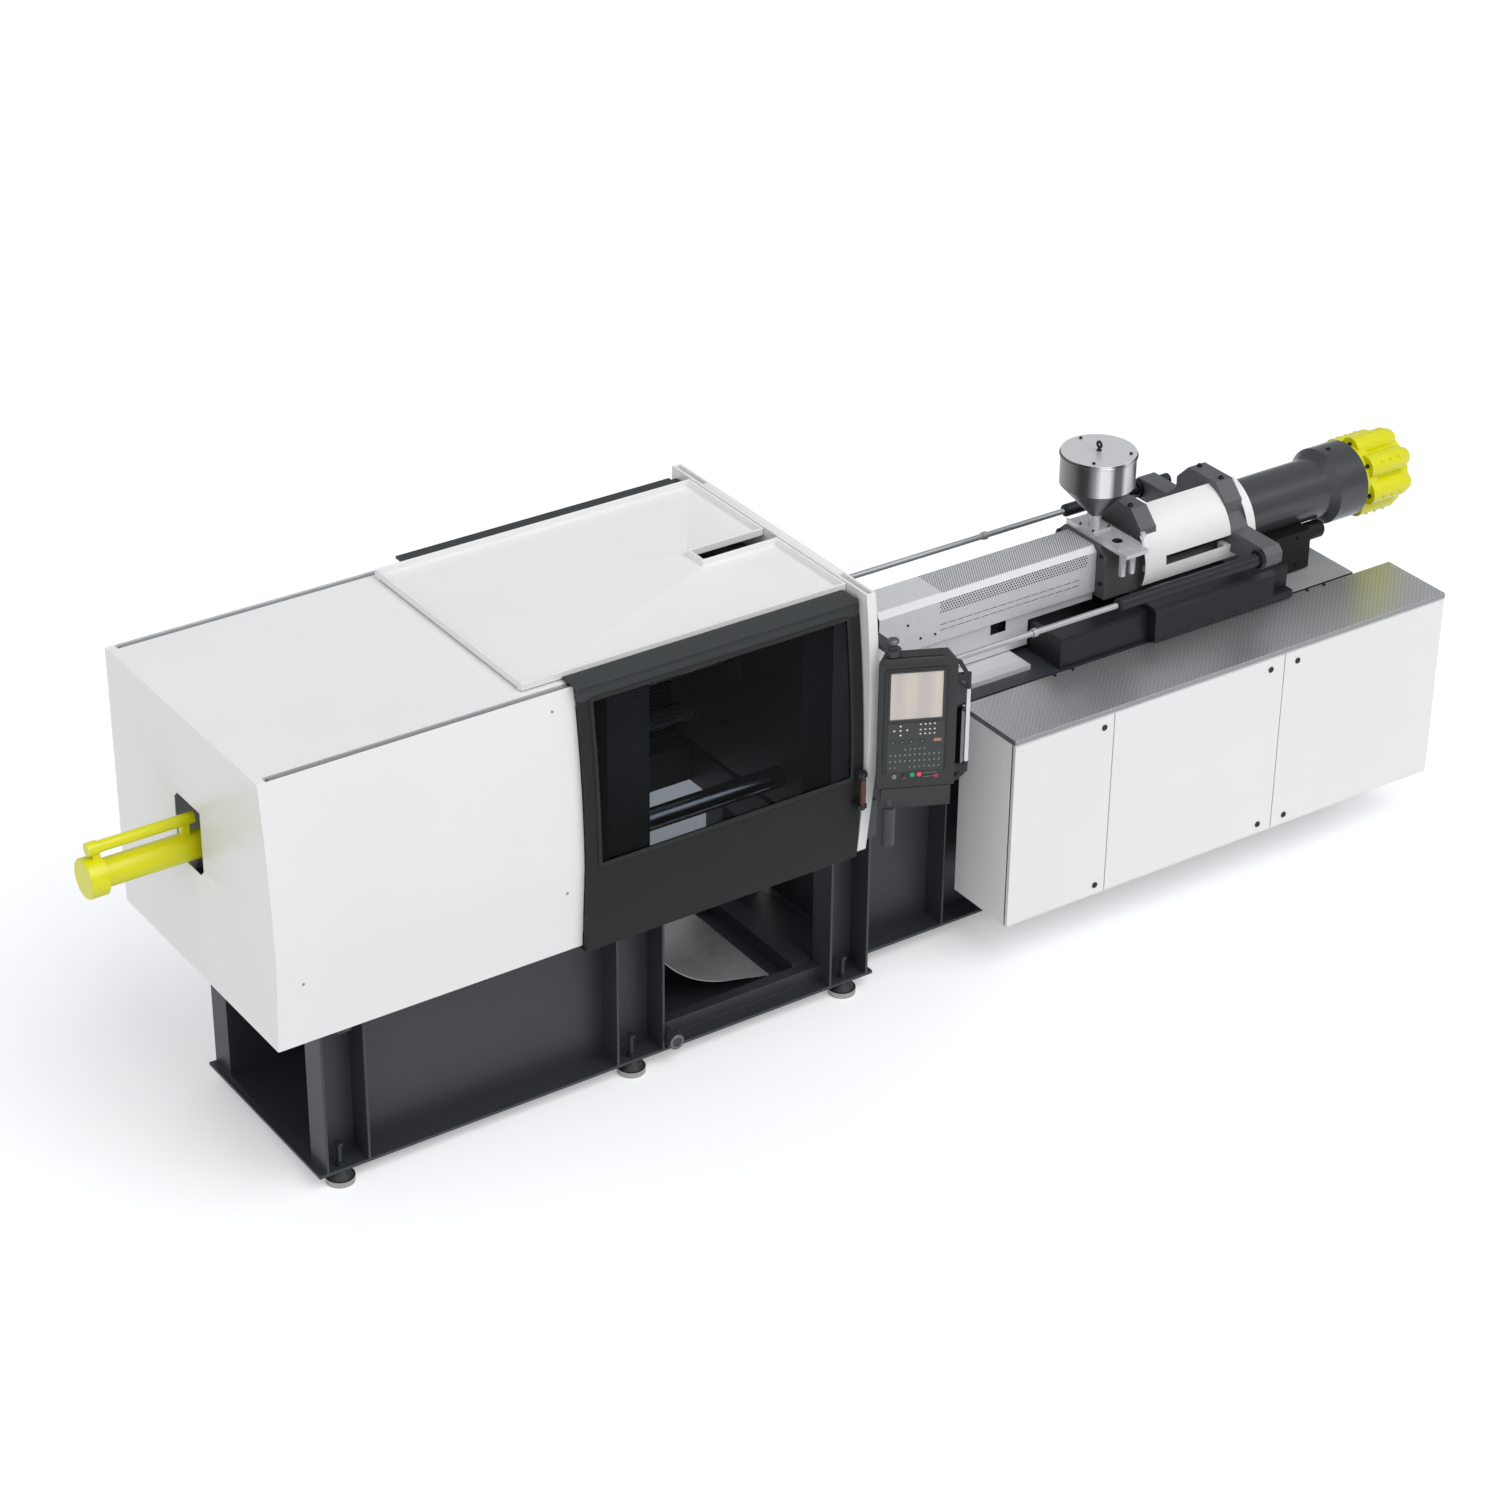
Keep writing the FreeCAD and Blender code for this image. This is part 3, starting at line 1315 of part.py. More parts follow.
def rear_link(row, level):
    """A rear link: two plates on one long pin, with a knuckle for the cross link."""
    name = "rear_link_" + row
    plates = link_plates(name, d.rear_link, (rear_in, rear_out), d.eye_radius,
                         (0, d.rear_link))
    pin = rod(name + "_pin", "y", -front_out, front_out, (0, 0), d.pin_radius)
    bosses = []
    for side, hand in ((-1, "front"), (1, "rear")):
        knee = both(rear_out, rear_out + d.link_gap - 3, side)
        knuckle = both(rear_in - d.link_gap + 3, rear_in, side)
        bosses.append(rod("%s_knee_%s" % (name, hand), "y", knee[0], knee[1],
                          (d.rear_link, 0), d.pin_radius))
        bosses.append(rod("%s_knuckle_%s" % (name, hand), "y", knuckle[0], knuckle[1],
                          (d.knuckle_reach, 0), d.small_pin_radius))
        span = both(rear_in, rear_out, side)
        bosses.append(rod("%s_knuckle_eye_%s" % (name, hand), "y", span[0], span[1],
                          (d.knuckle_reach, 0), d.eye_radius * 0.8))
    body = fuse(name, *plates, pin, *bosses)
    return swing_link(name, level, (rear_pivot, d.pivot_height), (knee_x, knee_height), body)


def front_link(row, level):
    """A front link: two long plates on one long pin, with open eyes at the knee."""
    name = "front_link_" + row
    plates = link_plates(name, d.front_link, (front_in, front_out), d.eye_radius,
                         (0, d.front_link))
    pin = rod(name + "_pin", "y", -lug_out, lug_out, (0, 0), d.pin_radius)
    hole = rod(name + "_knee_hole", "y", -front_out - 1, front_out + 1, (d.front_link, 0),
               d.pin_radius + d.pin_gap)
    body = cut(name, fuse(name + "_blank", *plates, pin), hole)
    return swing_link(name, level, (front_pivot, d.pivot_height), (knee_x, knee_height), body)


def cross_link(row, level):
    """A cross link: two short plates on one pin in the crosshead, with open far eyes."""
    name = "cross_link_" + row
    plates = link_plates(name, d.cross_link, (d.cross_layer, cross_out), d.small_eye_radius,
                         (0, d.cross_link))
    pin = rod(name + "_pin", "y", -cross_out, cross_out, (0, 0), d.small_pin_radius)
    hole = rod(name + "_knuckle_hole", "y", -cross_out - 1, cross_out + 1, (d.cross_link, 0),
               d.small_pin_radius + d.pin_gap)
    body = cut(name, fuse(name + "_blank", *plates, pin), hole)
    return swing_link(name, level, (cross_x, cross_height), (knuckle_x, knuckle_height), body)


clamp_start = -d.clamp_cap_reach
piston_start = clamp_start + d.clamp_cap_wall + 5


def crosshead():
    """The crosshead beam with its pin bores and guide bores, its rod and the clamp piston."""
    half = d.crosshead_thickness / 2
    low, high = d.axis_height - crosshead_half_height, d.axis_height + crosshead_half_height
    corner = 25
    wide = d.crosshead_half_width
    beam = prism("crosshead_beam", "yz",
                 [(-wide + corner, low), (wide - corner, low), (wide, low + corner),
                  (wide, high - corner), (wide - corner, high), (-wide + corner, high),
                  (-wide, high - corner), (-wide, low + corner)],
                 cross_x - half, cross_x + half)
    guides = [(0, d.axis_height + level * d.guide_spacing / 2, d.guide_radius + d.running_gap)
              for level in (-1, 1)]
    bore(beam, "crosshead_guide_bores", "yz", guides)
    pins = [(cross_x, d.axis_height + level * cross_height, d.small_pin_radius + d.pin_gap)
            for level in (-1, 1)]
    bore(beam, "crosshead_pin_bores", "xz", pins)
    shaft = rod("crosshead_rod", "x", piston_start, cross_x, (0, d.axis_height), d.rod_radius)
    collar = rod("crosshead_collar", "x", cross_x - half - 20, cross_x + half + 20,
                 (0, d.axis_height), d.rod_radius + 14)
    piston = rod("clamp_piston", "x", piston_start, piston_start + d.piston_length,
                 (0, d.axis_height), d.piston_radius - d.pin_gap)
    return node("crosshead", fuse("crosshead", beam, shaft, collar, piston))


def clamp_cylinder():
    """The clamp cylinder behind the end platen, with its pilot cylinder alongside."""
    start, cap_end = clamp_start, clamp_start + d.clamp_cap_length
    flange_start = end_back - d.clamp_flange
    bore_start = start + d.clamp_cap_wall
    points = [(start, 0), (start, d.clamp_cap_radius - 4), (start + 4, d.clamp_cap_radius),
              (cap_end, d.clamp_cap_radius), (cap_end, d.clamp_tube_radius),
              (flange_start, d.clamp_tube_radius), (flange_start, d.clamp_flange_radius),
              (end_back, d.clamp_flange_radius), (end_back, d.piston_radius),
              (bore_start, d.piston_radius), (bore_start, 0)]
    tube = turned("clamp_tube", "x", points, (0, d.axis_height))
    level = d.axis_height + d.pilot_height
    pilot_start = start + 30
    pilot = rod("pilot_tube", "x", pilot_start, pilot_start + d.pilot_length, (0, level),
                d.pilot_radius)
    block_half = d.pilot_block / 2
    blocks = [box("pilot_block_%d" % number, (station, station + 34), (-block_half, block_half),
                  (d.axis_height + d.clamp_tube_radius - 6, level))
              for number, station in enumerate((start + 42, pilot_start + d.pilot_length - 60),
                                               start=1)]
    ring = rod("pilot_ring", "x", pilot_start - 6, pilot_start + 40, (0, level),
               d.pilot_radius + 5)
    return node("clamp_cylinder", fuse("clamp_cylinder", tube, pilot, ring, *blocks))


ejector_start = moving_back - d.ejector_stroke - d.ejector_spare


def ejector_cylinder():
    """The ejector's cylinder on the back of the moving platen."""
    start = ejector_start
    wall = 20
    points = [(start, 0), (start, d.ejector_radius), (moving_back - 25, d.ejector_radius),
              (moving_back - 25, d.ejector_radius + 15), (moving_back, d.ejector_radius + 15),
              (moving_back, d.ejector_bore), (moving_back - 20, d.ejector_bore),
              (moving_back - 20, d.ejector_radius - 12), (start + wall, d.ejector_radius - 12),
              (start + wall, 0)]
    return node("ejector_cylinder", turned("ejector_cylinder", "x", points, (0, d.axis_height)))


def ejector_rod():
    """The ejector's piston and rod, its tip just inside the moving platen's face."""
    start = ejector_start + 22
    points = [(start, 0), (start, d.ejector_radius - 12 - d.pin_gap),
              (start + 26, d.ejector_radius - 12 - d.pin_gap), (start + 26, d.ejector_rod),
              (moving_face - 12, d.ejector_rod), (moving_face - 8, d.ejector_rod - 4),
              (moving_face - 8, 0)]
    return node("ejector_rod", turned("ejector_rod", "x", points, (0, d.axis_height)))


# ---------------------------------------------------------------- injection unit

def carriage_rails():
    """The carriage's bed: two beams with hard strips, joined by an end plate."""
    pieces = []
    for side, hand in ((-1, "front"), (1, "rear")):
        pieces.append(box("%s_bed_beam" % hand, (rails_start, rails_end),
                          both(d.rails_inner, d.rails_outer, side),
                          (deck, rails_top - d.rail_strip)))
        pieces.append(box("%s_bed_strip" % hand, (rails_start, rails_end),
                          both(d.rail_strip_inner, d.rails_outer - 5, side),
                          (rails_top - d.rail_strip, rails_top)))
    pieces.append(box("bed_end", (rails_start, rails_start + 30),
                      (-d.rails_inner, d.rails_inner), (deck, rails_top - d.rail_strip)))
    return node("carriage_rails", fuse("carriage_rails", *pieces))


def carriage():
    """The saddle: a plate over the bed with chamfered skirts and keeper lips."""
    inner, outer = d.rails_outer + 3.5, d.saddle_half
    bottom = saddle_top - d.saddle_plate - d.saddle_skirt
    chamfer = d.saddle_chamfer
    points = [(-outer, bottom), (-inner, bottom), (-inner, saddle_bottom),
              (inner, saddle_bottom), (inner, bottom), (outer, bottom),
              (outer, saddle_top - chamfer), (outer - chamfer, saddle_top),
              (-outer + chamfer, saddle_top), (-outer, saddle_top - chamfer)]
    saddle = prism("saddle", "yz", points, saddle_start, saddle_end)
    lips = [box("lip_%s" % hand, (saddle_start + 10, saddle_start + 10 + d.lip_length),
                both(inner, outer - 8, side), (bottom - d.lip_height + 6, bottom + 6))
            for side, hand in ((-1, "front"), (1, "rear"))]
    relief = rod("saddle_relief", "x", rear_yoke_end - 1, saddle_end + 1, (0, d.axis_height),
                 d.cylinder_radius + d.cylinder_rim + d.running_gap)
    return node("carriage", cut("carriage", fuse("carriage_block", saddle, *lips), relief))


def yoke_outline(foot_half):
    """Half of a yoke's outline: flat top, chamfer, upright side and foot."""
    top = d.axis_height + d.yoke_top
    side = d.yoke_half_top + d.yoke_chamfer
    return [(d.yoke_half_top, top), (side, top - d.yoke_chamfer)], (foot_half, saddle_top)


def injection_yokes():
    """The two eight-sided yokes on the saddle, with the rods that tie them together."""
    top = d.axis_height + d.yoke_top
    side = d.yoke_half_top + d.yoke_chamfer
    middle = d.axis_height + d.traverse_lift
    shoulder = middle + d.ear_height / 2
    front = prism("front_yoke_plate", "yz",
                  [(-side, saddle_top), (side, saddle_top), (side, top - d.yoke_chamfer),
                   (d.yoke_half_top, top), (-d.yoke_half_top, top),
                   (-side, top - d.yoke_chamfer)],
                  front_yoke_start, front_yoke_end)
    bore(front, "front_yoke_bore", "yz", [(0, d.axis_height, d.barrel_radius)])
    low = middle - d.ear_height / 2
    ear = d.ear_reach
    tip = 30
    rear = prism("rear_yoke_plate", "yz",
                 [(-side - 30, saddle_top), (side + 30, saddle_top), (side + 30, low),
                  (ear - tip, low), (ear, low + tip), (ear, shoulder - tip),
                  (ear - tip, shoulder), (side + 60, shoulder), (side, shoulder + 60),
                  (side, top - d.yoke_chamfer), (d.yoke_half_top, top), (-d.yoke_half_top, top),
                  (-side, top - d.yoke_chamfer), (-side, shoulder + 60),
                  (-side - 60, shoulder), (-ear + tip, shoulder), (-ear, shoulder - tip),
                  (-ear, low + tip), (-ear + tip, low), (-side - 30, low)],
                 rear_yoke_start, rear_yoke_end)
    holes = [(0, d.axis_height, d.piston_rod_radius + 1)]
    holes += [(hand * d.traverse_offset, middle, d.traverse_tube_radius) for hand in (-1, 1)]
    bore(rear, "rear_yoke_bores", "yz", holes)
    rods = [rod("yoke_rod_%d_%d" % (hand + 1, level + 1), "x", front_yoke_end, rear_yoke_start,
                (hand * d.yoke_rod_spacing / 2, d.axis_height + level * d.yoke_rod_rise / 2),
                d.yoke_rod_radius)
            for hand in (-1, 1) for level in (-1, 1)]
    return node("injection_yokes", fuse("injection_yokes", front, rear, *rods))


def injection_cover():
    """The round white cover over the front of the yokes, notched at their corners."""
    start = front_yoke_start - d.shell_overhang
    end = start + d.shell_length
    radius, sheet_metal = d.shell_radius, d.shell_sheet
    low, high = degrees(d.shell_lower_angle), degrees(d.shell_upper_angle)

    def rim(angle, distance):
        return (-(distance * cosine(angle)), d.axis_height + distance * sine(angle))

    inner = radius - sheet_metal
    points = [rim(low, radius) + (-radius,), rim(high, radius), rim(high, inner) + (inner,),
              rim(low, inner)]
    skin = prism("injection_skin", "yz", points, start, end)
    side = d.yoke_half_top + d.yoke_chamfer
    level = d.axis_height + root(inner * inner - side * side)
    tall = d.axis_height + radius + 10
    ear_low = d.axis_height + d.traverse_lift - d.ear_height / 2 - d.running_gap
    notches = [box("cover_notch_%d" % number, span, (-radius - 10, 0), (bottom, tall))
               for number, (span, bottom) in enumerate((
                   ((start - 1, front_yoke_end + d.running_gap), level - 1),
                   ((rear_yoke_start - d.running_gap, rear_yoke_end + d.running_gap), ear_low)),
                   start=1)]
    slot_start = front_yoke_end + 25
    slot = box("cover_slot", (slot_start, slot_start + d.shell_slot_length),
               (-radius - 10, -radius / 2),
               (d.axis_height - 10, d.axis_height - 10 + d.shell_slot_height))
    straps = [box("cover_strap_%d" % number, (station, station + 30),
                  (-inner + 1, -side), (d.axis_height - 40, d.axis_height - 12))
              for number, station in enumerate((front_yoke_start + 30, rear_yoke_start - 30),
                                               start=1)]
    return node("injection_cover", fuse("injection_cover",
                                        cut("injection_shell", skin, *notches, slot), *straps))


screw_end = front_yoke_end + d.screw_reach
piston_front = rear_yoke_end + d.cylinder_wall + d.piston_rest


def injection_cylinder():
    """The injection cylinder behind the rear yoke, with the drive housing on its end."""
    start, end = rear_yoke_end, cylinder_end
    rear_wall = piston_front + d.injection_piston_length + d.injection_stroke + d.piston_rest
    flange = d.cylinder_radius + d.cylinder_rim
    points = [(start, d.piston_rod_radius + 1), (start, flange), (start + 30, flange),
              (start + 30, d.cylinder_radius), (end, d.cylinder_radius),
              (end + d.housing_chamfer, d.housing_radius), (housing_end - 6, d.housing_radius),
              (housing_end, d.housing_radius - 6), (housing_end, 0), (rear_wall, 0),
              (rear_wall, d.cylinder_bore), (start + d.cylinder_wall, d.cylinder_bore),
              (start + d.cylinder_wall, d.piston_rod_radius + 1)]
    return node("injection_cylinder", turned("injection_cylinder", "x", points,
                                             (0, d.axis_height)))


def injection_piston():
    """The injection piston and its rod, ending in the screw's coupling between the yokes."""
    bore_radius = d.cylinder_bore - d.pin_gap
    coupling = d.piston_rod_radius + d.coupling_wall
    mouth = screw_end - d.coupling_depth
    points = [(mouth, d.screw_shank + d.pin_gap), (mouth, coupling),
              (screw_end + d.screw_coupling, coupling),
              (screw_end + d.screw_coupling, d.piston_rod_radius),
              (piston_front, d.piston_rod_radius), (piston_front, bore_radius),
              (piston_front + d.injection_piston_length, bore_radius),
              (piston_front + d.injection_piston_length, 0), (screw_end + d.pin_gap, 0),
              (screw_end + d.pin_gap, d.screw_shank + d.pin_gap)]
    return node("injection_piston", turned("injection_piston", "x", points, (0, d.axis_height)))


def screw():
    """The plasticising screw: a root with one helical flight, a pointed tip and a plain shank."""
    tip = barrel_start + d.screw_gap
    root_start = tip + d.screw_tip
    shank_start = feed_middle + d.screw_neck
    points = [(tip, 0), (tip, d.screw_point), (root_start, d.screw_root),
              (shank_start, d.screw_root), (shank_start, d.screw_shank),
              (screw_end, d.screw_shank), (screw_end, 0)]
    body = turned("screw", "x", points, (0, d.axis_height))
    sketch = attach_sketch(body, "flight_section", "xz", 0)
    start = root_start + d.screw_flight
    draw_outline(sketch, [(start, d.screw_root / 2), (start, d.screw_radius),
                          (start + d.screw_flight, d.screw_radius),
                          (start + d.screw_flight, d.screw_root / 2)])
    flight = body.newObject("PartDesign::AdditiveHelix", "screw_flight")
    flight.Profile = sketch
    flight.ReferenceAxis = (sketch, ["H_Axis"])
    flight.Mode = "pitch-height-angle"
    bind(flight, "Pitch", d.screw_pitch)
    bind(flight, "Height", shank_start - start - d.screw_pitch)
    sketch.Visibility = False
    return node("screw", body)


def barrel():
    """The barrel from the front yoke to its head, with its heater bands, adapter and nozzle."""
    gap = d.screw_radius + 0.1
    adapter_start = barrel_start - d.nozzle_adapter_length
    pitch = (feed_start - barrel_start) / DIMENSIONS["heater_bands"]
    outer = d.barrel_radius + d.heater_thickness
    bands = []
    for number in range(DIMENSIONS["heater_bands"]):
        start = barrel_start + pitch * number + d.heater_gap / 2
        end = start + pitch - d.heater_gap
        bands += [(start, d.barrel_radius), (start, outer), (end, outer), (end, d.barrel_radius)]
    points = [(nozzle_tip, 3), (nozzle_tip, 12), (nozzle_tip + 14, d.nozzle_radius),
              (adapter_start, d.nozzle_radius), (adapter_start, d.nozzle_adapter),
              (barrel_start, d.nozzle_adapter), (barrel_start, d.barrel_radius - 5),
              (barrel_start + 5, d.barrel_radius), *bands, (front_yoke_end, d.barrel_radius),
              (front_yoke_end, gap), (barrel_start + 36, gap), (barrel_start, 5),
              (adapter_start, 3)]
    tube = turned("barrel_tube", "x", points, (0, d.axis_height))
    throat = rod("barrel_throat", "z", d.axis_height, d.axis_height + d.barrel_radius + 5,
                 (feed_middle, 0), d.throat_radius)
    return node("barrel", cut("barrel", tube, throat))


def feed_block():
    """The feed block round the barrel, under the hopper, with its feed throat."""
    half = d.feed_half
    low, high = saddle_top, feed_top
    chamfer = 60
    block = prism("feed_casting", "yz",
                  [(-half, low), (half, low), (half, high - chamfer), (half - chamfer, high),
                   (-half + chamfer, high), (-half, high - chamfer)],
                  feed_start, front_yoke_start)
    bore(block, "feed_barrel_bore", "yz", [(0, d.axis_height, d.barrel_radius)])
    throat = rod("feed_throat", "z", d.axis_height, high + 1, (feed_middle, 0), d.throat_radius)
    return node("feed_block", cut("feed_block", block, throat))


def barrel_cover():
    """The folded heater cover: chamfered top, deep sides, inset lower skirts and a front end."""
    wide, sheet_metal = d.barrel_cover_half, d.barrel_cover_sheet
    top, chamfer = d.axis_height + d.barrel_cover_top, d.barrel_cover_chamfer
    shoulder = top - d.barrel_cover_side
    inset = d.skirt_half
    low = d.axis_height - d.skirt_bottom
    right = [(wide, shoulder), (wide, top - chamfer), (wide - chamfer, top)]
    outer = ([(-inset, low), (-inset, shoulder)] + [(-y, z) for y, z in right]
             + [(y, z) for y, z in reversed(right)] + [(inset, shoulder), (inset, low)])
    inner = [(inset - sheet_metal, low), (inset - sheet_metal, shoulder + sheet_metal),
             (wide - sheet_metal, shoulder + sheet_metal),
             (wide - sheet_metal, top - chamfer - 1), (wide - chamfer - 1, top - sheet_metal)]
    points = outer + inner + [(-y, z) for y, z in reversed(inner)]
    sleeve = prism("barrel_cover_sleeve", "yz", points, barrel_cover_start, feed_start)
    window = box("barrel_cover_window", (feed_start - 600, feed_start - 510),
                 (-inset - 5, -inset + 10), (shoulder - 65, shoulder - 5))
    bed_gap = box("barrel_cover_bed_gap", (rails_start - 10, feed_start + 1),
                  (-inset - 5, inset + 5), (low - 1, rails_top + 2))
    front = box("barrel_cover_front", (barrel_cover_start, barrel_cover_start + sheet_metal),
                (-inset + 1, inset - 1), (d.axis_height - 130, top - sheet_metal))
    hole = rod("barrel_cover_hole", "x", barrel_cover_start - 5, barrel_cover_start + 10,
               (0, d.axis_height), d.barrel_radius + d.heater_thickness + 5)
    return node("barrel_cover", fuse("barrel_cover", cut("barrel_cover_cut", sleeve, window, bed_gap),
                                     cut("barrel_cover_end", front, hole)))


traverse_height = d.axis_height + d.traverse_lift


def traverse_rods():
    """The two chromed traverse rods from the fixed platen, with their stop collars."""
    rods = []
    spans = ((-1, "front", saddle_start + d.front_tube_start),
             (1, "rear", saddle_start + d.rear_tube_start))
    for side, hand, tube_start in spans:
        y = side * d.traverse_offset
        rod_end = tube_start + 40
        collar = tube_start - d.traverse - 42 - d.collar_length / 2
        shaft = rod("%s_traverse_rod" % hand, "x", fixed_back, rod_end, (y, traverse_height),
                    d.traverse_rod_radius)
        stop = rod("%s_traverse_collar" % hand, "x", collar, collar + d.collar_length,
                   (y, traverse_height), d.collar_radius)
        root_nut = rod("%s_traverse_nut" % hand, "x", fixed_back, fixed_back + 30,
                       (y, traverse_height), d.collar_radius + 8)
        rods.append(fuse("%s_traverse" % hand, shaft, stop, root_nut))
    return node("traverse_rods", group("traverse_rods", *rods))


def traverse_cylinders():
    """The two traverse cylinders, held in the ears of the rear yoke."""
    tubes = []
    spans = ((-1, "front", saddle_start + d.front_tube_start, d.front_tube_length),
             (1, "rear", saddle_start + d.rear_tube_start, d.rear_tube_length))
    for side, hand, start, length in spans:
        end = start + length
        outer = d.traverse_tube_radius
        inner = outer - d.traverse_tube_wall
        mouth = d.traverse_rod_radius + d.running_gap
        points = [(start, mouth), (start, outer - 3), (start + 3, outer), (end - 3, outer),
                  (end, outer - 3), (end, 0), (end - 20, 0), (end - 20, inner),
                  (start + 20, inner), (start + 20, mouth)]
        tubes.append(turned("%s_traverse_tube" % hand, "x", points,
                            (side * d.traverse_offset, traverse_height)))
    return node("traverse_cylinders", group("traverse_cylinders", *tubes))


def screw_motor():
    """The radial screw motor: a core with rounded lobes round it and a flange."""
    start = housing_end
    neck = start + 70
    body_end = start + d.motor_length - 40
    ring = d.motor_radius - d.motor_lobe_radius
    pieces = [rod("motor_flange", "x", start, neck, (0, d.axis_height), d.motor_core_radius + 20),
              rod("motor_core", "x", neck, body_end, (0, d.axis_height), d.motor_core_radius),
              taper("motor_cap", "x", body_end, start + d.motor_length, (0, d.axis_height),
                    d.motor_core_radius - 30, d.motor_core_radius - 60)]
    for number in range(DIMENSIONS["motor_lobes"]):
        turn = 360.0 * number / DIMENSIONS["motor_lobes"] + 90
        y = ring * math.cos(math.radians(turn))
        z = d.axis_height + ring * math.sin(math.radians(turn))
        pieces.append(rod("motor_lobe_%d" % number, "x", neck - 40, body_end - 50, (y, z),
                          d.motor_lobe_radius))
        pieces.append(taper("motor_nose_%d" % number, "x", body_end - 50, body_end, (y, z),
                            d.motor_lobe_radius, d.motor_lobe_radius * 0.7))
    return node("screw_motor", fuse("screw_motor", *pieces))


def drive_box():
    """The valve box under the injection cylinder, with the small motor on its end."""
    start = saddle_start + d.drive_box_offset
    end = start + d.drive_box_length
    low = deck + d.drive_box_lift
    block = box("drive_block", (start, end), (-d.drive_box_width, 0),
                (low, d.axis_height - d.drive_box_top))
    seat_round = rod("drive_seat", "x", start - 1, end + 1, (0, d.axis_height),
                     d.cylinder_radius)
    middle = (-d.drive_box_width / 2, deck + d.pump_motor_height)
    motor = rod("pump_motor_can", "x", end, end + d.pump_motor_length, middle,
                d.pump_motor_radius)
    cap = rod("pump_motor_cap", "x", end + d.pump_motor_length,
              end + d.pump_motor_length + 12, middle, d.pump_motor_radius * 0.8)
    return node("drive_box", fuse("drive_box", cut("drive_case", block, seat_round), motor, cap))


def purge_tray():
    """The shallow perforated tray under the nozzle."""
    start, end = injection_start + d.tray_offset, injection_start + d.tray_offset + d.tray_length
    sheet_metal = d.tray_sheet
    tray = box("tray_block", (start, end), (d.tray_front, d.tray_back),
               (deck, deck + d.tray_height))
    inside = box("tray_inside", (start + sheet_metal, end - sheet_metal),
                 (d.tray_front + sheet_metal, d.tray_back - sheet_metal),
                 (deck - 1, deck + d.tray_height - sheet_metal))
    return node("purge_tray", cut("purge_tray", tray, inside))


# ---------------------------------------------------------------- hopper

plate_top = feed_top + d.slide_plate
plate_start = feed_middle - d.slide_plate_width / 2


def hopper_slide():
    """The hopper's slide plate with its two rails, feed and drain holes, and drain tubes."""
    start, end = plate_start, plate_start + d.slide_plate_width
    front, back = -d.slide_plate_front, d.slide_plate_back
    plate = box("slide_plate", (start, end), (front, back), (feed_top, plate_top))
    rails = [box("slide_rail_%d" % number, span, (front + 60, back),
                 (plate_top, plate_top + d.hopper_base))
             for number, span in enumerate(((start, start + 6), (end - 6, end)), start=1)]
    holes = [rod("slide_hole_%d" % number, "z", feed_top - 1, plate_top + 1, (feed_middle, y),
                 d.throat_radius)
             for number, y in enumerate((0, -d.hopper_travel), start=1)]
    tube_top, tube_low = feed_top, feed_top - d.drain_tube_length
    tubes = [cut("drain_tube_%d" % number,
                 rod("drain_tube_out_%d" % number, "z", tube_low, tube_top,
                     (feed_middle + along, front + 70), d.drain_tube_radius),
                 rod("drain_tube_in_%d" % number, "z", tube_low - 1, tube_top - 3,
                     (feed_middle + along, front + 70), d.drain_tube_radius - 3))
             for number, along in enumerate((-28, 28), start=1)]
    knob_place = (end - 14, front + 30)
    knob = [rod("slide_knob_stem", "z", plate_top, plate_top + 60, knob_place, 5),
            rod("slide_knob_head", "z", plate_top + 60, plate_top + 78, knob_place, 13)]
    drilled = cut("slide_drilled", fuse("slide_blank", plate, *rails), *holes)
    return node("hopper_slide", fuse("hopper_slide", drilled, *tubes, knob[0], knob[1]))


hopper_bottom = plate_top + d.running_gap
neck_top = hopper_bottom + d.hopper_base + d.hopper_neck
cone_top = neck_top + d.hopper_cone
drum_top = cone_top + d.hopper_drum


def hopper():
    """The spun hopper: a flange that slides, a neck, a cone and a drum, all open inside."""
    wall = d.hopper_wall
    neck, drum = d.hopper_neck_radius, d.hopper_radius
    points = [(neck - wall, hopper_bottom), (neck, hopper_bottom), (neck, neck_top),
              (drum, cone_top), (drum, drum_top), (drum - wall, drum_top),
              (drum - wall, cone_top + 1), (neck - wall, neck_top + 1)]
    spun = turned("hopper_shell", "z", points, (feed_middle, 0))
    half = d.hopper_base_half
    flange = box("hopper_flange", (feed_middle - half, feed_middle + half), (-half, half),
                 (hopper_bottom, hopper_bottom + d.hopper_base))
    hole = rod("hopper_hole", "z", hopper_bottom - 1, hopper_bottom + d.hopper_base + 1,
               (feed_middle, 0), neck - wall)
    return node("hopper", fuse("hopper", spun, cut("hopper_base_plate", flange, hole)))


def hopper_lid():
    """The hopper's flat lid, with a rim that drops inside the drum and a ring bolt."""
    inner = d.hopper_radius - d.hopper_wall - 1
    disc = rod("lid_disc", "z", drum_top, drum_top + d.lid_thickness, (feed_middle, 0),
               d.hopper_radius)
    rim = rod("lid_rim", "z", drum_top - 12, drum_top, (feed_middle, 0), inner)
    hollow = rod("lid_hollow", "z", drum_top - 13, drum_top - 1, (feed_middle, 0), inner - 4)
    stem_top = drum_top + d.lid_thickness + 16
    stem = rod("lid_stem", "z", drum_top, stem_top, (feed_middle, 0), 7)
    ring = doc.addObject("Part::Torus", "lid_ring")
    ring.Placement = Placement(Vector(), Rotation(Vector(0, 1, 0), 90))
    bind(ring, "Radius1", d.lid_ring_radius)
    bind(ring, "Radius2", d.lid_ring_wire)
    seat(ring, (feed_middle, 0, stem_top + d.lid_ring_radius))
    return node("hopper_lid", fuse("hopper_lid", cut("lid_plate", fuse("lid_solid", disc, rim),
                                                     hollow), stem, ring))


# ---------------------------------------------------------------- control cabinet

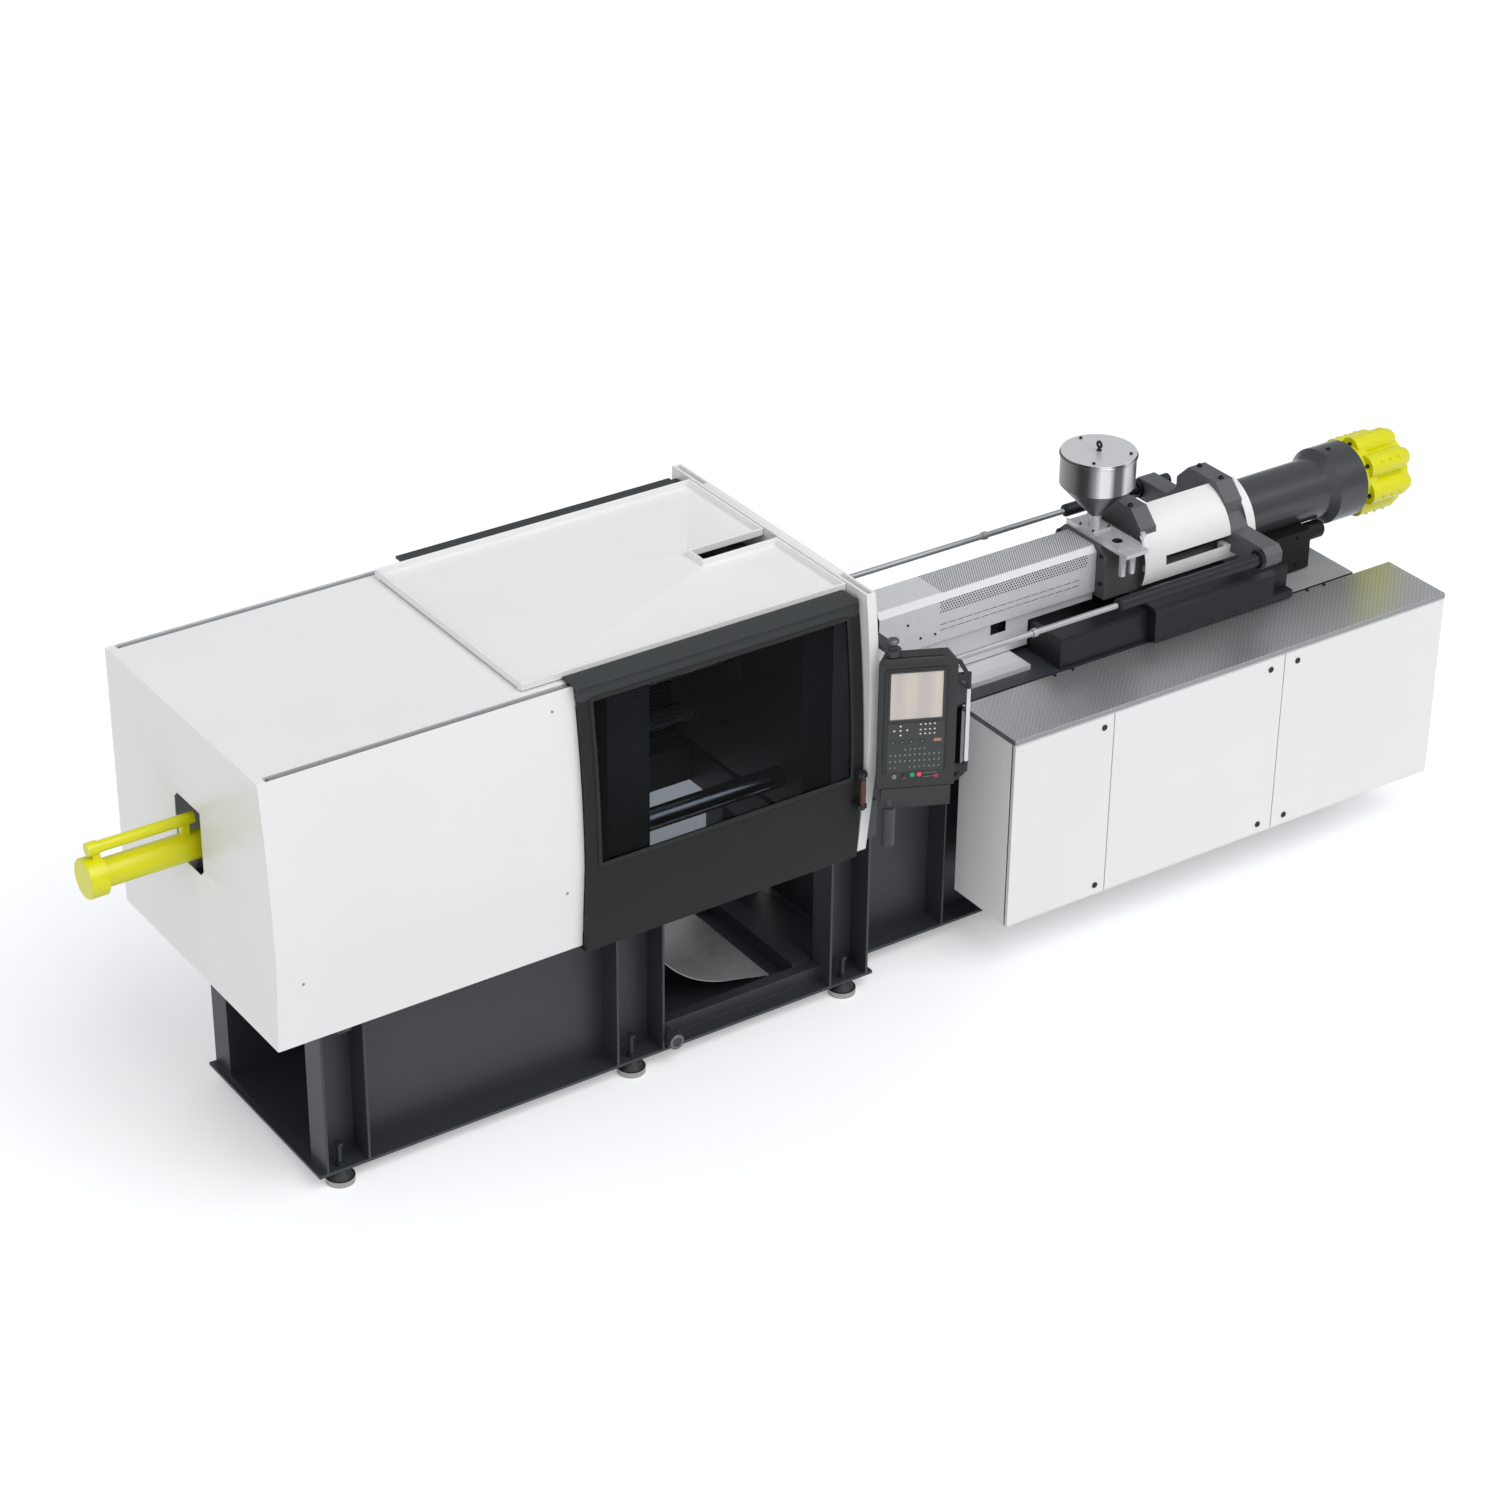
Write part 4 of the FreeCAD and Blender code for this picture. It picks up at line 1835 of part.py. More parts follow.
door_bottom = d.cabinet_bottom + d.cabinet_sheet + 2
door_top = lid_bottom - d.cabinet_sheet - 2
door_spans = {
    "left": (cabinet_start, cabinet_start + d.left_door_width),
    "middle": (cabinet_start + d.left_door_width,
               cabinet_start + d.left_door_width + d.middle_door_width),
    "right": (cabinet_start + d.left_door_width + d.middle_door_width, cabinet_end),
}
pin_y = cabinet_face + d.door_pin_inset


def door_pin_x(name):
    """The station of a door's hinge pin: the right door's is on its right edge."""
    start, end = door_spans[name]
    half_gap = d.door_gap / 2
    return (end - half_gap - d.door_pin_inset if name == "right"
            else start + half_gap + d.door_pin_inset)


def cabinet_body():
    """The cabinet's folded case: open in front, with two mullions and a mounting plate."""
    sheet_metal = d.cabinet_sheet
    case_face = cabinet_face + d.door_depth
    pieces = [
        box("cabinet_floor", (cabinet_start, cabinet_end), (cabinet_face + 2, cabinet_back),
            (d.cabinet_bottom, d.cabinet_bottom + sheet_metal)),
        box("cabinet_ceiling", (cabinet_start, cabinet_end), (cabinet_face + 2, cabinet_back),
            (lid_bottom - sheet_metal, lid_bottom)),
        box("cabinet_back_wall", (cabinet_start, cabinet_end),
            (cabinet_back - sheet_metal, cabinet_back), (d.cabinet_bottom, lid_bottom)),
        box("cabinet_left_wall", (cabinet_start, cabinet_start + sheet_metal),
            (case_face + 4, cabinet_back), (d.cabinet_bottom, lid_bottom)),
        box("cabinet_right_wall", (cabinet_end - sheet_metal, cabinet_end),
            (case_face + 4, cabinet_back), (d.cabinet_bottom, lid_bottom)),
    ]
    for name in ("left", "middle"):
        centre = door_spans[name][1]
        pieces.append(box("cabinet_mullion_%s" % name,
                          (centre - d.mullion / 2, centre + d.mullion / 2),
                          (case_face + 14, case_face + 14 + sheet_metal),
                          (d.cabinet_bottom, lid_bottom)))
    holes = [rod("hinge_hole_%s" % name, "z", d.cabinet_bottom - 1, lid_bottom + 1,
                 (door_pin_x(name), pin_y), d.door_pin_radius + d.pin_gap)
             for name in door_spans]
    return node("cabinet_body", cut("cabinet_body", fuse("cabinet_case", *pieces), *holes))


def cabinet_top():
    """The cabinet's lid: a tread plate with its edges folded down."""
    sheet_metal = d.cabinet_sheet
    lid = box("lid_block", (cabinet_start, cabinet_end), (cabinet_face, cabinet_back),
              (lid_bottom, deck))
    hollow = box("lid_inside", (cabinet_start + sheet_metal, cabinet_end - sheet_metal),
                 (cabinet_face + sheet_metal, cabinet_back - sheet_metal),
                 (lid_bottom - 1, deck - sheet_metal))
    return node("cabinet_top", cut("cabinet_top", lid, hollow))


def cabinet_door(name):
    """A cabinet door: a folded sheet pan with its hinge pins."""
    start, end = door_spans[name]
    half_gap = d.door_gap / 2
    low, high = start + half_gap, end - half_gap
    wall = d.door_sheet
    label = "cabinet_door_" + name
    pan = box(label + "_pan", (low, high), (cabinet_face, cabinet_face + d.door_depth - 4),
              (door_bottom, door_top))
    inside = box(label + "_inside", (low + wall, high - wall),
                 (cabinet_face + wall, cabinet_face + d.door_depth),
                 (door_bottom + wall, door_top - wall))
    pins = [rod("%s_pin_%d" % (label, number), "z", first, last, (door_pin_x(name), pin_y),
                d.door_pin_radius)
            for number, (first, last) in enumerate((
                (d.cabinet_bottom, door_bottom + 30), (door_top - 30, lid_bottom)), start=1)]
    return node(label, fuse(label, cut(label + "_shell", pan, inside), *pins))


# ---------------------------------------------------------------- control panel

def panel_arm():
    """The panel's bracket on the platen surround, with the post that the panel turns on."""
    x, y = panel_x, panel_y
    low = panel_top + d.arm_lift
    high = low + d.arm_thickness
    half = d.post_radius + 5
    foot = box("arm_foot", (surround_end, surround_end + 18), (-d.arm_inner - 90, -d.arm_inner),
               (low - 40, high + 40))
    arm = box("arm_bar", (surround_end + 8, x + half), (y, -d.arm_inner - 20), (low, high))
    nose = rod("arm_nose", "z", low, high, (x, y), half)
    post = rod("arm_post", "z", d.axis_height - d.post_drop, panel_bottom - d.running_gap, (x, y),
               d.post_radius)
    pin = rod("arm_pin", "z", panel_bottom - d.running_gap, low, (x, y), d.post_pin_radius)
    cap = rod("arm_cap", "z", high, high + 8, (x, y), d.post_pin_radius)
    return node("panel_arm", fuse("panel_arm", foot, arm, nose, post, pin, cap))


def place_panel_piece(label, piece):
    """Turns a piece drawn round the panel's post to the way that the panel faces."""
    seat(piece, (panel_x, panel_y, 0), degrees(-d.panel_yaw), (0, 0, 1))
    return node(label, piece)


screen_start = d.screen_left - d.panel_left
screen_bottom = d.axis_height + d.screen_rise
button_height = d.axis_height - d.button_drop
button_x = d.button_left - d.panel_left


def control_panel():
    """The panel's housing: a tall case with chamfered back edges over a narrower lower box."""
    left, right = -d.panel_left, d.panel_right
    face, back, chamfer = -d.panel_face, d.panel_back, d.panel_back_chamfer
    outline = [(left, face), (right, face), (right, back - chamfer), (right - chamfer, back),
               (left + chamfer, back), (left, back - chamfer)]
    case = prism("panel_case", "xy", outline, panel_shoulder, panel_top)
    corner = d.panel_corner
    trims = [prism("panel_trim_%s" % hand, "xz",
                   [(edge, panel_top - corner), (edge, panel_top + 1),
                    (edge + inward * corner, panel_top + 1)], face - 1, back + 1)
             for hand, edge, inward in (("left", left - 1, 1), ("right", right + 1, -1))]
    inset = d.panel_inset
    foot = prism("panel_foot", "xy",
                 [(left + inset, face + inset), (right - inset, face + inset),
                  (right - inset, back - chamfer), (right - inset - chamfer, back),
                  (left + inset + chamfer, back), (left + inset, back - chamfer)],
                 panel_bottom, panel_shoulder)
    post_hole = rod("panel_post_hole", "z", panel_bottom - 1, panel_top + 1, (0, 0),
                    d.post_pin_radius + d.pin_gap)
    screen_hole = box("panel_screen_hole", (screen_start, screen_start + d.screen_width),
                      (face - 1, face + d.screen_depth),
                      (screen_bottom, screen_bottom + d.screen_height))
    buttons = [rod("panel_button_hole_%d" % number, "y", face - 1, face + 16,
                   (button_x + along, button_height), d.button_radius + d.running_gap)
               for number, along in enumerate((0, d.button_spacing), start=1)]
    body = cut("control_panel", fuse("panel_block", case, foot), post_hole, screen_hole,
               *trims, *buttons)
    return place_panel_piece("control_panel", body)


def panel_screen():
    """The screen's glass, let into the panel's face."""
    face = -d.panel_face
    gap = d.running_gap
    glass = box("screen_glass", (screen_start + gap, screen_start + d.screen_width - gap),
                (face + 1, face + d.screen_depth),
                (screen_bottom + gap, screen_bottom + d.screen_height - gap))
    return place_panel_piece("panel_screen", group("panel_screen", glass))


def panel_handle():
    """The bent grab handle on the panel's free edge: two brackets and a tube."""
    right = d.panel_right
    y = -d.panel_face + 12
    reach = right + d.panel_handle_reach
    low, high = d.axis_height - d.panel_handle_drop, d.axis_height + d.panel_handle_rise
    brackets = [box("handle_bracket_%d" % number, (right, reach), (y - 9, y + 9),
                    (level, level + d.panel_bracket))
                for number, level in enumerate((low, high - d.panel_bracket), start=1)]
    tube = rod("handle_tube", "z", low, high, (reach, y), d.panel_handle_radius)
    return place_panel_piece("panel_handle", fuse("panel_handle_set", tube, *brackets))


def panel_button(label, along):
    """A round push button that stands proud of the panel's face."""
    face = -d.panel_face
    cap = rod(label + "_cap", "y", face - d.button_travel - 4, face + 8,
              (button_x + along, button_height), d.button_radius)
    return place_panel_piece(label, group(label, cap))


# ---------------------------------------------------------------- the machine

def build():
    """Makes every sub-part of the machine."""
    clamp_base()
    injection_base()
    levelling_feet()
    drain_pipe()
    drop_chute()
    front_cover()
    rear_cover()
    end_cover()
    roof_cover()
    gate_rails()
    front_gate()
    front_window()
    front_gate_handle()
    rear_gate()
    roof_guard()
    platen_surround()
    fixed_platen()
    moving_platen()
    end_platen()
    tie_bars()
    tie_bar_nuts()
    for row, level in (("top", 1), ("bottom", -1)):
        rear_link(row, level)
        front_link(row, level)
        cross_link(row, level)
    crosshead()
    clamp_cylinder()
    ejector_cylinder()
    ejector_rod()
    carriage_rails()
    carriage()
    injection_yokes()
    injection_cover()
    injection_cylinder()
    injection_piston()
    screw()
    barrel()
    feed_block()
    barrel_cover()
    traverse_rods()
    traverse_cylinders()
    screw_motor()
    drive_box()
    purge_tray()
    hopper_slide()
    hopper()
    hopper_lid()
    cabinet_body()
    cabinet_top()
    for name in door_spans:
        cabinet_door(name)
    panel_arm()
    control_panel()
    panel_screen()
    panel_handle()
    panel_button("start_button", 0)
    panel_button("stop_button", d.button_spacing)


def check():
    """Stops the build where any object failed or any sub-part has no sound shape."""
    faults = [thing.Name for thing in doc.Objects
              if "Invalid" in thing.State or "Error" in thing.State]
    for piece in nodes:
        if piece.Shape.isNull() or not piece.Shape.isValid() or not piece.Shape.Solids:
            faults.append(piece.Label)
    if faults:
        raise RuntimeError("these objects failed: " + ", ".join(faults))


def export():
    """Writes each sub-part to its own file."""
    os.makedirs("parts", exist_ok=True)
    for piece in nodes:
        piece.Shape.exportStep("parts/%s.step" % piece.Label)
        print("%-22s %3d solids %10.1f cm3" % (piece.Label, len(piece.Shape.Solids),
                                               piece.Shape.Volume / 1000))


build()
doc.recompute()
check()
export()
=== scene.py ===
import math

import bmesh
import bpy
import numpy as np
from mathutils import Euler, Matrix, Vector
from mathutils.bvhtree import BVHTree


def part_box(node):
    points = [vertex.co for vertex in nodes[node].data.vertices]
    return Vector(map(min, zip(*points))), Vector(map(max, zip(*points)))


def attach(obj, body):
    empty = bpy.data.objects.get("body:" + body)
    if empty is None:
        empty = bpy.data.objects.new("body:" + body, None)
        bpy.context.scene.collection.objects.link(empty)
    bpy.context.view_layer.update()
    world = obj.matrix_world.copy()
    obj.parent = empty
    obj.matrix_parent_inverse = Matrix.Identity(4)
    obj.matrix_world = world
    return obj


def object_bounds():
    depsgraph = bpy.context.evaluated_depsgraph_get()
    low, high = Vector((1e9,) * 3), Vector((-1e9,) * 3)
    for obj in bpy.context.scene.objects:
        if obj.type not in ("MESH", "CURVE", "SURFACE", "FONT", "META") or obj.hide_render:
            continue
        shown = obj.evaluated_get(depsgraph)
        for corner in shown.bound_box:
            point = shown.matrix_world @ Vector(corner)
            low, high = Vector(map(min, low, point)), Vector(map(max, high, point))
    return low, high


# Looks of the injection moulding machine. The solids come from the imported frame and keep
# their places. This script gives them their paint and metal, softens their edges, and adds
# the small pieces that the solids leave out. Lengths are in metres in Blender, and stations
# are in millimetres, counted as the machine's maker counts them: from the end cover (x),
# the machine's centreline (y) and the underside of the base plates (z).

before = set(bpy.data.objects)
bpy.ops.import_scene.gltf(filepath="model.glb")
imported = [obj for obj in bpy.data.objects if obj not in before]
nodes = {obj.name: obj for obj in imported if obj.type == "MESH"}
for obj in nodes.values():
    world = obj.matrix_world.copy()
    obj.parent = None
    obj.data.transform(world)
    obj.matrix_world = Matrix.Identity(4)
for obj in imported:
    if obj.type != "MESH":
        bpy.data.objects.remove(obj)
cad_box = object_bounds()

# The screw's axis and the clamp's middle lie at one height; the traverse cylinders lie off the
# centreline to both sides. Both are stations.
AXIS = 1480.0
TRAVERSE_LINE = 451.0
SIDES = ((-1, "front"), (1, "rear"))

# The control panel stands turned on a post; its left edge and its face, from the post's axis.
PANEL_POST = (2935.0, -849.0, 0.0)
PANEL_TURN = -25.0
PANEL_LEFT = 60.0
PANEL_FACE = 29.0

# Angles in degrees: an edge that folds by more stays sharp, or is broken by a bevel.
SHARP_FOLD = 32.0
BEVEL_FOLD = 40.0

# The view and the light: angles in degrees, the lens in millimetres, the floor in metres. A lamp
# has its name, the way its back points, its spread and its strength.
CAMERA_PLACE = (-5494.1, -12056.0, 9506.3)
CAMERA_TURN = (59.9591, -0.5019, -34.1829)
CAMERA_LENS = 89.813
LAMPS = (("key", (1.0, -3.0, 4.2), 50.0, 1.5), ("side", (-3.0, -1.2, 1.8), 60.0, 0.55))
SKY_STRENGTH = 0.54
FLOOR_SIZE = 80.0
FLOOR_LIFT = 0.31


class Extent:
    """The lowest and highest corner of a node, its middle and its size, in stations."""

    def __init__(self, name):
        low, high = (np.array(corner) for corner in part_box(name))
        self.low = (low - origin) * 1000
        self.high = (high - origin) * 1000
        self.middle = (self.low + self.high) / 2
        self.size = self.high - self.low


origin = np.array([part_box("end_cover")[0][0],
                   (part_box("tie_bars")[0][1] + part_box("tie_bars")[1][1]) / 2,
                   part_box("clamp_base")[0][2]])


def metres(stations):
    """Turns stations in millimetres into places in the frame, in metres."""
    return np.asarray(stations, float) / 1000 + origin


# ---------------------------------------------------------------- materials

def rgb(red, green, blue):
    """A colour as a screen shows it, from 0 to 255, in the linear terms that a shader takes."""
    shown = np.array([red, green, blue]) / 255
    low, high = shown / 12.92, ((shown + 0.055) / 1.055) ** 2.4
    return (*np.where(shown <= 0.04045, low, high), 1.0)


class Finish:
    """One material: a surface shader, and the nodes that vary it over the piece."""

    def __init__(self, name):
        self.material = bpy.data.materials.new(name)
        self.material.use_nodes = True
        self.tree = self.material.node_tree
        self.shader = self.tree.nodes["Principled BSDF"]
        self.place = self.add("ShaderNodeTexCoord").outputs["Object"]

    def add(self, kind, settings=None, **inputs):
        """A node with its settings, its inputs given as plain values or other nodes' outputs."""
        made = self.tree.nodes.new(kind)
        for name, value in (settings or {}).items():
            setattr(made, name, value)
        for name, value in inputs.items():
            self.join(made.inputs[name.replace("_", " ")], value)
        return made

    def join(self, socket, value):
        """Sets a socket to a plain value, or links another node's output to it."""
        if isinstance(value, bpy.types.NodeSocket):
            self.tree.links.new(value, socket)
        else:
            socket.default_value = value

    def surface(self, **inputs):
        """Sets the shader's own sockets."""
        for name, value in inputs.items():
            self.join(self.shader.inputs[name.replace("_", " ")], value)

    def scaled(self, factors):
        """Object coordinates times a factor for each axis."""
        node = self.add("ShaderNodeVectorMath", {"operation": "MULTIPLY"})
        self.join(node.inputs[0], self.place)
        node.inputs[1].default_value = factors
        return node.outputs[0]

    def noise(self, scale, detail=3.0, vector=None, roughness=0.5):
        """Soft noise from 0 to 1, with cells about 1 / scale metres across."""
        node = self.add("ShaderNodeTexNoise", Scale=scale, Detail=detail, Roughness=roughness)
        self.join(node.inputs["Vector"], self.place if vector is None else vector)
        return node.outputs["Fac"]

    def ramp(self, factor, low, high, start=0.0, end=1.0):
        """A number that goes from low to high as the factor goes from start to end."""
        node = self.add("ShaderNodeMapRange", Value=factor)
        for name, value in (("From Min", start), ("From Max", end), ("To Min", low),
                            ("To Max", high)):
            node.inputs[name].default_value = value
        return node.outputs[0]

    def blend(self, factor, first, second):
        """A colour between two, by a factor."""
        node = self.add("ShaderNodeMix", {"data_type": "RGBA"})
        for index, value in ((0, factor), (6, first), (7, second)):
            self.join(node.inputs[index], value)
        return node.outputs[2]

    def banded(self, factor, stops):
        """A grey that goes softly from stop to stop as a factor goes from 0 to 1."""
        node = self.add("ShaderNodeValToRGB", Fac=factor)
        elements = node.color_ramp.elements
        for place, _ in stops[2:]:
            elements.new(place)
        for index, (place, grey) in enumerate(stops):
            elements[index].position = place
            elements[index].color = rgb(grey, grey + 1, grey + 2)
        return node.outputs[0]

    def num(self, operation, first, second=0.0, third=0.0):
        """One arithmetic step on numbers."""
        node = self.add("ShaderNodeMath", {"operation": operation})
        for index, value in enumerate((first, second, third)):
            self.join(node.inputs[index], value)
        return node.outputs[0]

    def axes(self):
        """The three object coordinates as numbers."""
        return self.add("ShaderNodeSeparateXYZ", Vector=self.place).outputs

    def bump(self, height, strength, distance):
        """Raises the surface by a height pattern; distance is in metres."""
        node = self.add("ShaderNodeBump", Height=height, Strength=strength, Distance=distance)
        self.join(self.shader.inputs["Normal"], node.outputs[0])


def paint(name, colour, gloss=0.38, grain=900.0, depth=0.00012, shade=0.94, coat=0.0,
          shine=0.5):
    """Sprayed paint on steel: a faint orange peel, slightly uneven tone and gloss."""
    finish = Finish(name)
    darker = tuple(part * shade for part in colour[:3]) + (1.0,)
    tone = finish.blend(finish.noise(1.7, 4.0), colour, darker)
    finish.surface(Base_Color=tone, Roughness=finish.ramp(finish.noise(14.0), gloss - 0.05,
                                                         gloss + 0.06))
    finish.surface(Coat_Weight=coat, Coat_Roughness=0.12, Specular_IOR_Level=shine)
    finish.bump(finish.noise(grain, 2.0), 0.18, depth)
    return finish.material


def cast_paint(name, colour, gloss=0.5):
    """Paint over a casting: a coarser skin, worn a little brighter where the skin is high."""
    finish = Finish(name)
    lighter = tuple(min(1.0, part * 1.5 + 0.01) for part in colour[:3]) + (1.0,)
    skin = finish.noise(140.0, 6.0, roughness=0.65)
    finish.surface(Base_Color=finish.blend(finish.ramp(skin, 0.0, 1.0, 0.35, 0.8), colour, lighter),
                   Roughness=finish.ramp(skin, gloss - 0.08, gloss + 0.1))
    finish.bump(skin, 0.35, 0.0006)
    return finish.material


def brushed(name, colour, along, gloss=0.3, streak=900.0, depth=0.00008, metal=1.0):
    """Ground or brushed metal: fine streaks drawn out along one axis."""
    finish = Finish(name)
    fine, broad = (
        finish.noise(1.0, detail, finish.scaled([long if axis == along else short
                                                 for axis in "xyz"]))
        for short, long, detail in ((streak, streak / 120, 3.0), (streak / 14, streak / 600, 2.0)))
    darker = tuple(part * 0.72 for part in colour[:3]) + (1.0,)
    both = finish.num("MULTIPLY_ADD", fine, 0.5, finish.num("MULTIPLY", broad, 0.5))
    finish.surface(Base_Color=finish.blend(finish.ramp(both, 0.0, 1.0, 0.3, 0.7), darker, colour),
                   Metallic=metal,
                   Roughness=finish.ramp(both, gloss - 0.08, gloss + 0.12, 0.3, 0.7))
    finish.bump(fine, 0.25, depth)
    return finish.material


# Painted reflections: where the light and dark bands painted on the hopper's sheet lie, in turns
# from its left, and their grey.
PAINTED_REFLECTION_BANDS = ((0.0, 122), (0.04, 116), (0.065, 74), (0.1, 80), (0.13, 150), (0.155, 236),
               (0.19, 226), (0.214, 84), (0.246, 92), (0.27, 222), (0.3, 200), (0.34, 84),
               (0.5, 190), (0.62, 110), (0.75, 210), (0.87, 112), (0.95, 134), (1.0, 122))


def spun(name):
    """Spun stainless sheet with painted reflections: soft light and dark bands painted up it, all
    the way round.

    The painted reflection bands follow the turn round the hopper's middle. Then, from low to high,
    the cone is painted darker as shade, the spout under it bright, the lid plain, and the ring bolt
    on the lid black.
    """
    finish = Finish(name)
    drum = Extent("hopper")
    centre = metres(drum.middle)
    x, y, z = finish.axes()
    turn = finish.num("ARCTAN2", finish.num("SUBTRACT", y, float(centre[1])),
                      finish.num("SUBTRACT", x, float(centre[0])))
    # The base colour carries painted reflections: light and dark grey bands round the hopper.
    tone = finish.banded(finish.ramp(turn, 0.0, 1.0, -math.pi, math.pi), PAINTED_REFLECTION_BANDS)
    # The first step paints the cone darker as shade; the others are the parts' own colours.
    for side, level, share, colour in (
            ("LESS_THAN", drum.high[2] - 158, 0.66, rgb(62, 64, 66)),
            ("LESS_THAN", drum.low[2] + 70, 0.75, rgb(228, 229, 230)),
            ("GREATER_THAN", drum.high[2] + 3.5, 1.0, rgb(232, 233, 234)),
            ("GREATER_THAN", drum.high[2] + 5.6, 1.0, rgb(30, 31, 33))):
        inside = finish.num(side, z, float(metres([0, 0, level])[2]))
        tone = finish.blend(finish.num("MULTIPLY", inside, share), tone, colour)
    fine = finish.noise(1.0, 2.0, finish.scaled([60.0, 60.0, 900.0]))
    finish.surface(Base_Color=tone, Metallic=finish.num("MULTIPLY_ADD", inside, -0.5, 0.6),
                   Roughness=finish.ramp(fine, 0.28, 0.4))
    finish.bump(fine, 0.08, 0.00005)
    return finish.material


def moulded(name, colour, gloss=0.55, grain=1400.0):
    """Moulded plastic with a fine spark-eroded grain."""
    finish = Finish(name)
    lighter = tuple(min(1.0, part * 1.25 + 0.002) for part in colour[:3]) + (1.0,)
    pits = finish.noise(grain, 4.0)
    finish.surface(Base_Color=finish.blend(finish.noise(25.0), colour, lighter),
                   Roughness=finish.ramp(pits, gloss - 0.08, gloss + 0.1))
    finish.bump(pits, 0.3, 0.00015)
    return finish.material


def tread_plate(name):
    """Rolled tread plate: short raised bars, turned by a quarter from one to the next."""
    finish = Finish(name)
    num = finish.num
    x, y, z = finish.axes()
    cell = 0.018 * 1.414
    across = num("DIVIDE", num("ADD", x, y), cell)
    along = num("DIVIDE", num("SUBTRACT", x, y), cell)
    even = num("MODULO", num("ADD", num("FLOOR", across), num("FLOOR", along)), 2.0)
    even = num("ABSOLUTE", even)
    u = num("SUBTRACT", num("FRACT", across), 0.5)
    v = num("SUBTRACT", num("FRACT", along), 0.5)

    def bar(length, width):
        """A raised bar in its cell: an oval, high where its two squares add up to little."""
        squares = [num("POWER", num("ABSOLUTE", num("DIVIDE", value, half)), 2.0)
                   for value, half in ((length, 0.46), (width, 0.15))]
        return finish.ramp(num("ADD", *squares), 1.0, 0.0, 0.55, 1.1)

    height = num("MULTIPLY_ADD", num("SUBTRACT", bar(v, u), bar(u, v)), even, bar(u, v))
    flat_top = num("GREATER_THAN", z, float(metres(Extent("cabinet_top").high)[2]) - 0.001)
    height = num("MULTIPLY", height, flat_top)
    scuff = finish.noise(60.0, 5.0)
    tone = finish.blend(height, rgb(198, 200, 202), rgb(234, 236, 238))
    finish.surface(Base_Color=finish.blend(finish.ramp(scuff, 0.0, 0.35), tone,
                                           rgb(120, 122, 124)),
                   Metallic=0.8, Roughness=finish.ramp(scuff, 0.28, 0.42))
    finish.bump(height, 0.35, 0.0008)
    return finish.material


def pierced_sheet(name, low, high):
    """Galvanised sheet with rows of small round holes between two corners' stations, each hole
    painted dark as the shade inside it.
    """
    finish = Finish(name)
    num = finish.num
    x, y, z = finish.axes()
    pitch, row_rise = 0.0125, 0.866
    row = num("DIVIDE", num("SUBTRACT", z, y), pitch * row_rise)
    step = num("MULTIPLY", num("FLOORED_MODULO", num("FLOOR", row), 2.0), 0.5)
    u = num("SUBTRACT", num("FRACT", num("ADD", num("DIVIDE", x, pitch), step)), 0.5)
    v = num("MULTIPLY", num("SUBTRACT", num("FRACT", row), 0.5), row_rise)
    reach = num("SQRT", num("ADD", num("MULTIPLY", u, u), num("MULTIPLY", v, v)))
    # Each hole is a dark grey dot in the colour: painted shade, not an opening.
    hole_shade = finish.ramp(reach, 1.0, 0.0, 0.27, 0.33)
    for value, start, end in zip((x, y, z), metres(low), metres(high)):
        hole_shade = num("MULTIPLY", hole_shade, num("GREATER_THAN", value, start))
        hole_shade = num("MULTIPLY", hole_shade, num("LESS_THAN", value, end))
    spangle = finish.noise(45.0, 5.0)
    sheet = finish.blend(spangle, rgb(206, 208, 210), rgb(222, 224, 225))
    finish.surface(Base_Color=finish.blend(hole_shade, sheet, rgb(46, 48, 50)),
                   Metallic=num("MULTIPLY", num("SUBTRACT", 1.0, hole_shade), 0.25),
                   Roughness=finish.ramp(spangle, 0.4, 0.56))
    finish.bump(num("SUBTRACT", 1.0, hole_shade), 0.6, 0.0012)
    return finish.material


def smoked_pane(name):
    """Smoked polycarbonate: clear, dark, and very slightly hazed."""
    finish = Finish(name)
    haze = finish.noise(3.0, 2.0)
    tint = finish.blend(finish.noise(2.0), rgb(138, 143, 149), rgb(131, 137, 143))
    finish.surface(Base_Color=tint, Roughness=finish.ramp(haze, 0.0, 0.02),
                   Transmission_Weight=1.0, IOR=1.12)
    return finish.material


def stepped(name, first, steps, grain=700.0, depth=0.00014, shine=0.5):
    """A finish that changes along the machine and with height.

    A finish here is a colour, a roughness and how metallic it is. Each step says from which
    station along the machine, and from which height up, its finish holds.
    """
    finish = Finish(name)
    along, _, height = finish.axes()
    colour, rough, metal = first
    for (start, level), (next_colour, next_rough, next_metal) in steps:
        start, _, level = (float(value) for value in metres([start, 0, level]))
        above = finish.num("MULTIPLY", finish.num("GREATER_THAN", height, level),
                           finish.num("GREATER_THAN", along, start))
        colour = finish.blend(above, colour, next_colour)
        rough, metal = (
            finish.num("MULTIPLY_ADD", above, finish.num("SUBTRACT", then, now), now)
            for then, now in ((next_rough, rough), (next_metal, metal)))
    uneven = finish.ramp(finish.noise(9.0, 4.0), 0.9, 1.06)
    tone = finish.add("ShaderNodeVectorMath", {"operation": "SCALE"})
    finish.join(tone.inputs[0], colour)
    finish.join(tone.inputs["Scale"], uneven)
    finish.surface(Base_Color=tone.outputs[0], Metallic=metal, Specular_IOR_Level=shine,
                   Roughness=finish.num("MULTIPLY_ADD", finish.noise(60.0), 0.1, rough))
    finish.bump(finish.noise(grain, 3.0), 0.2, depth)
    return finish.material


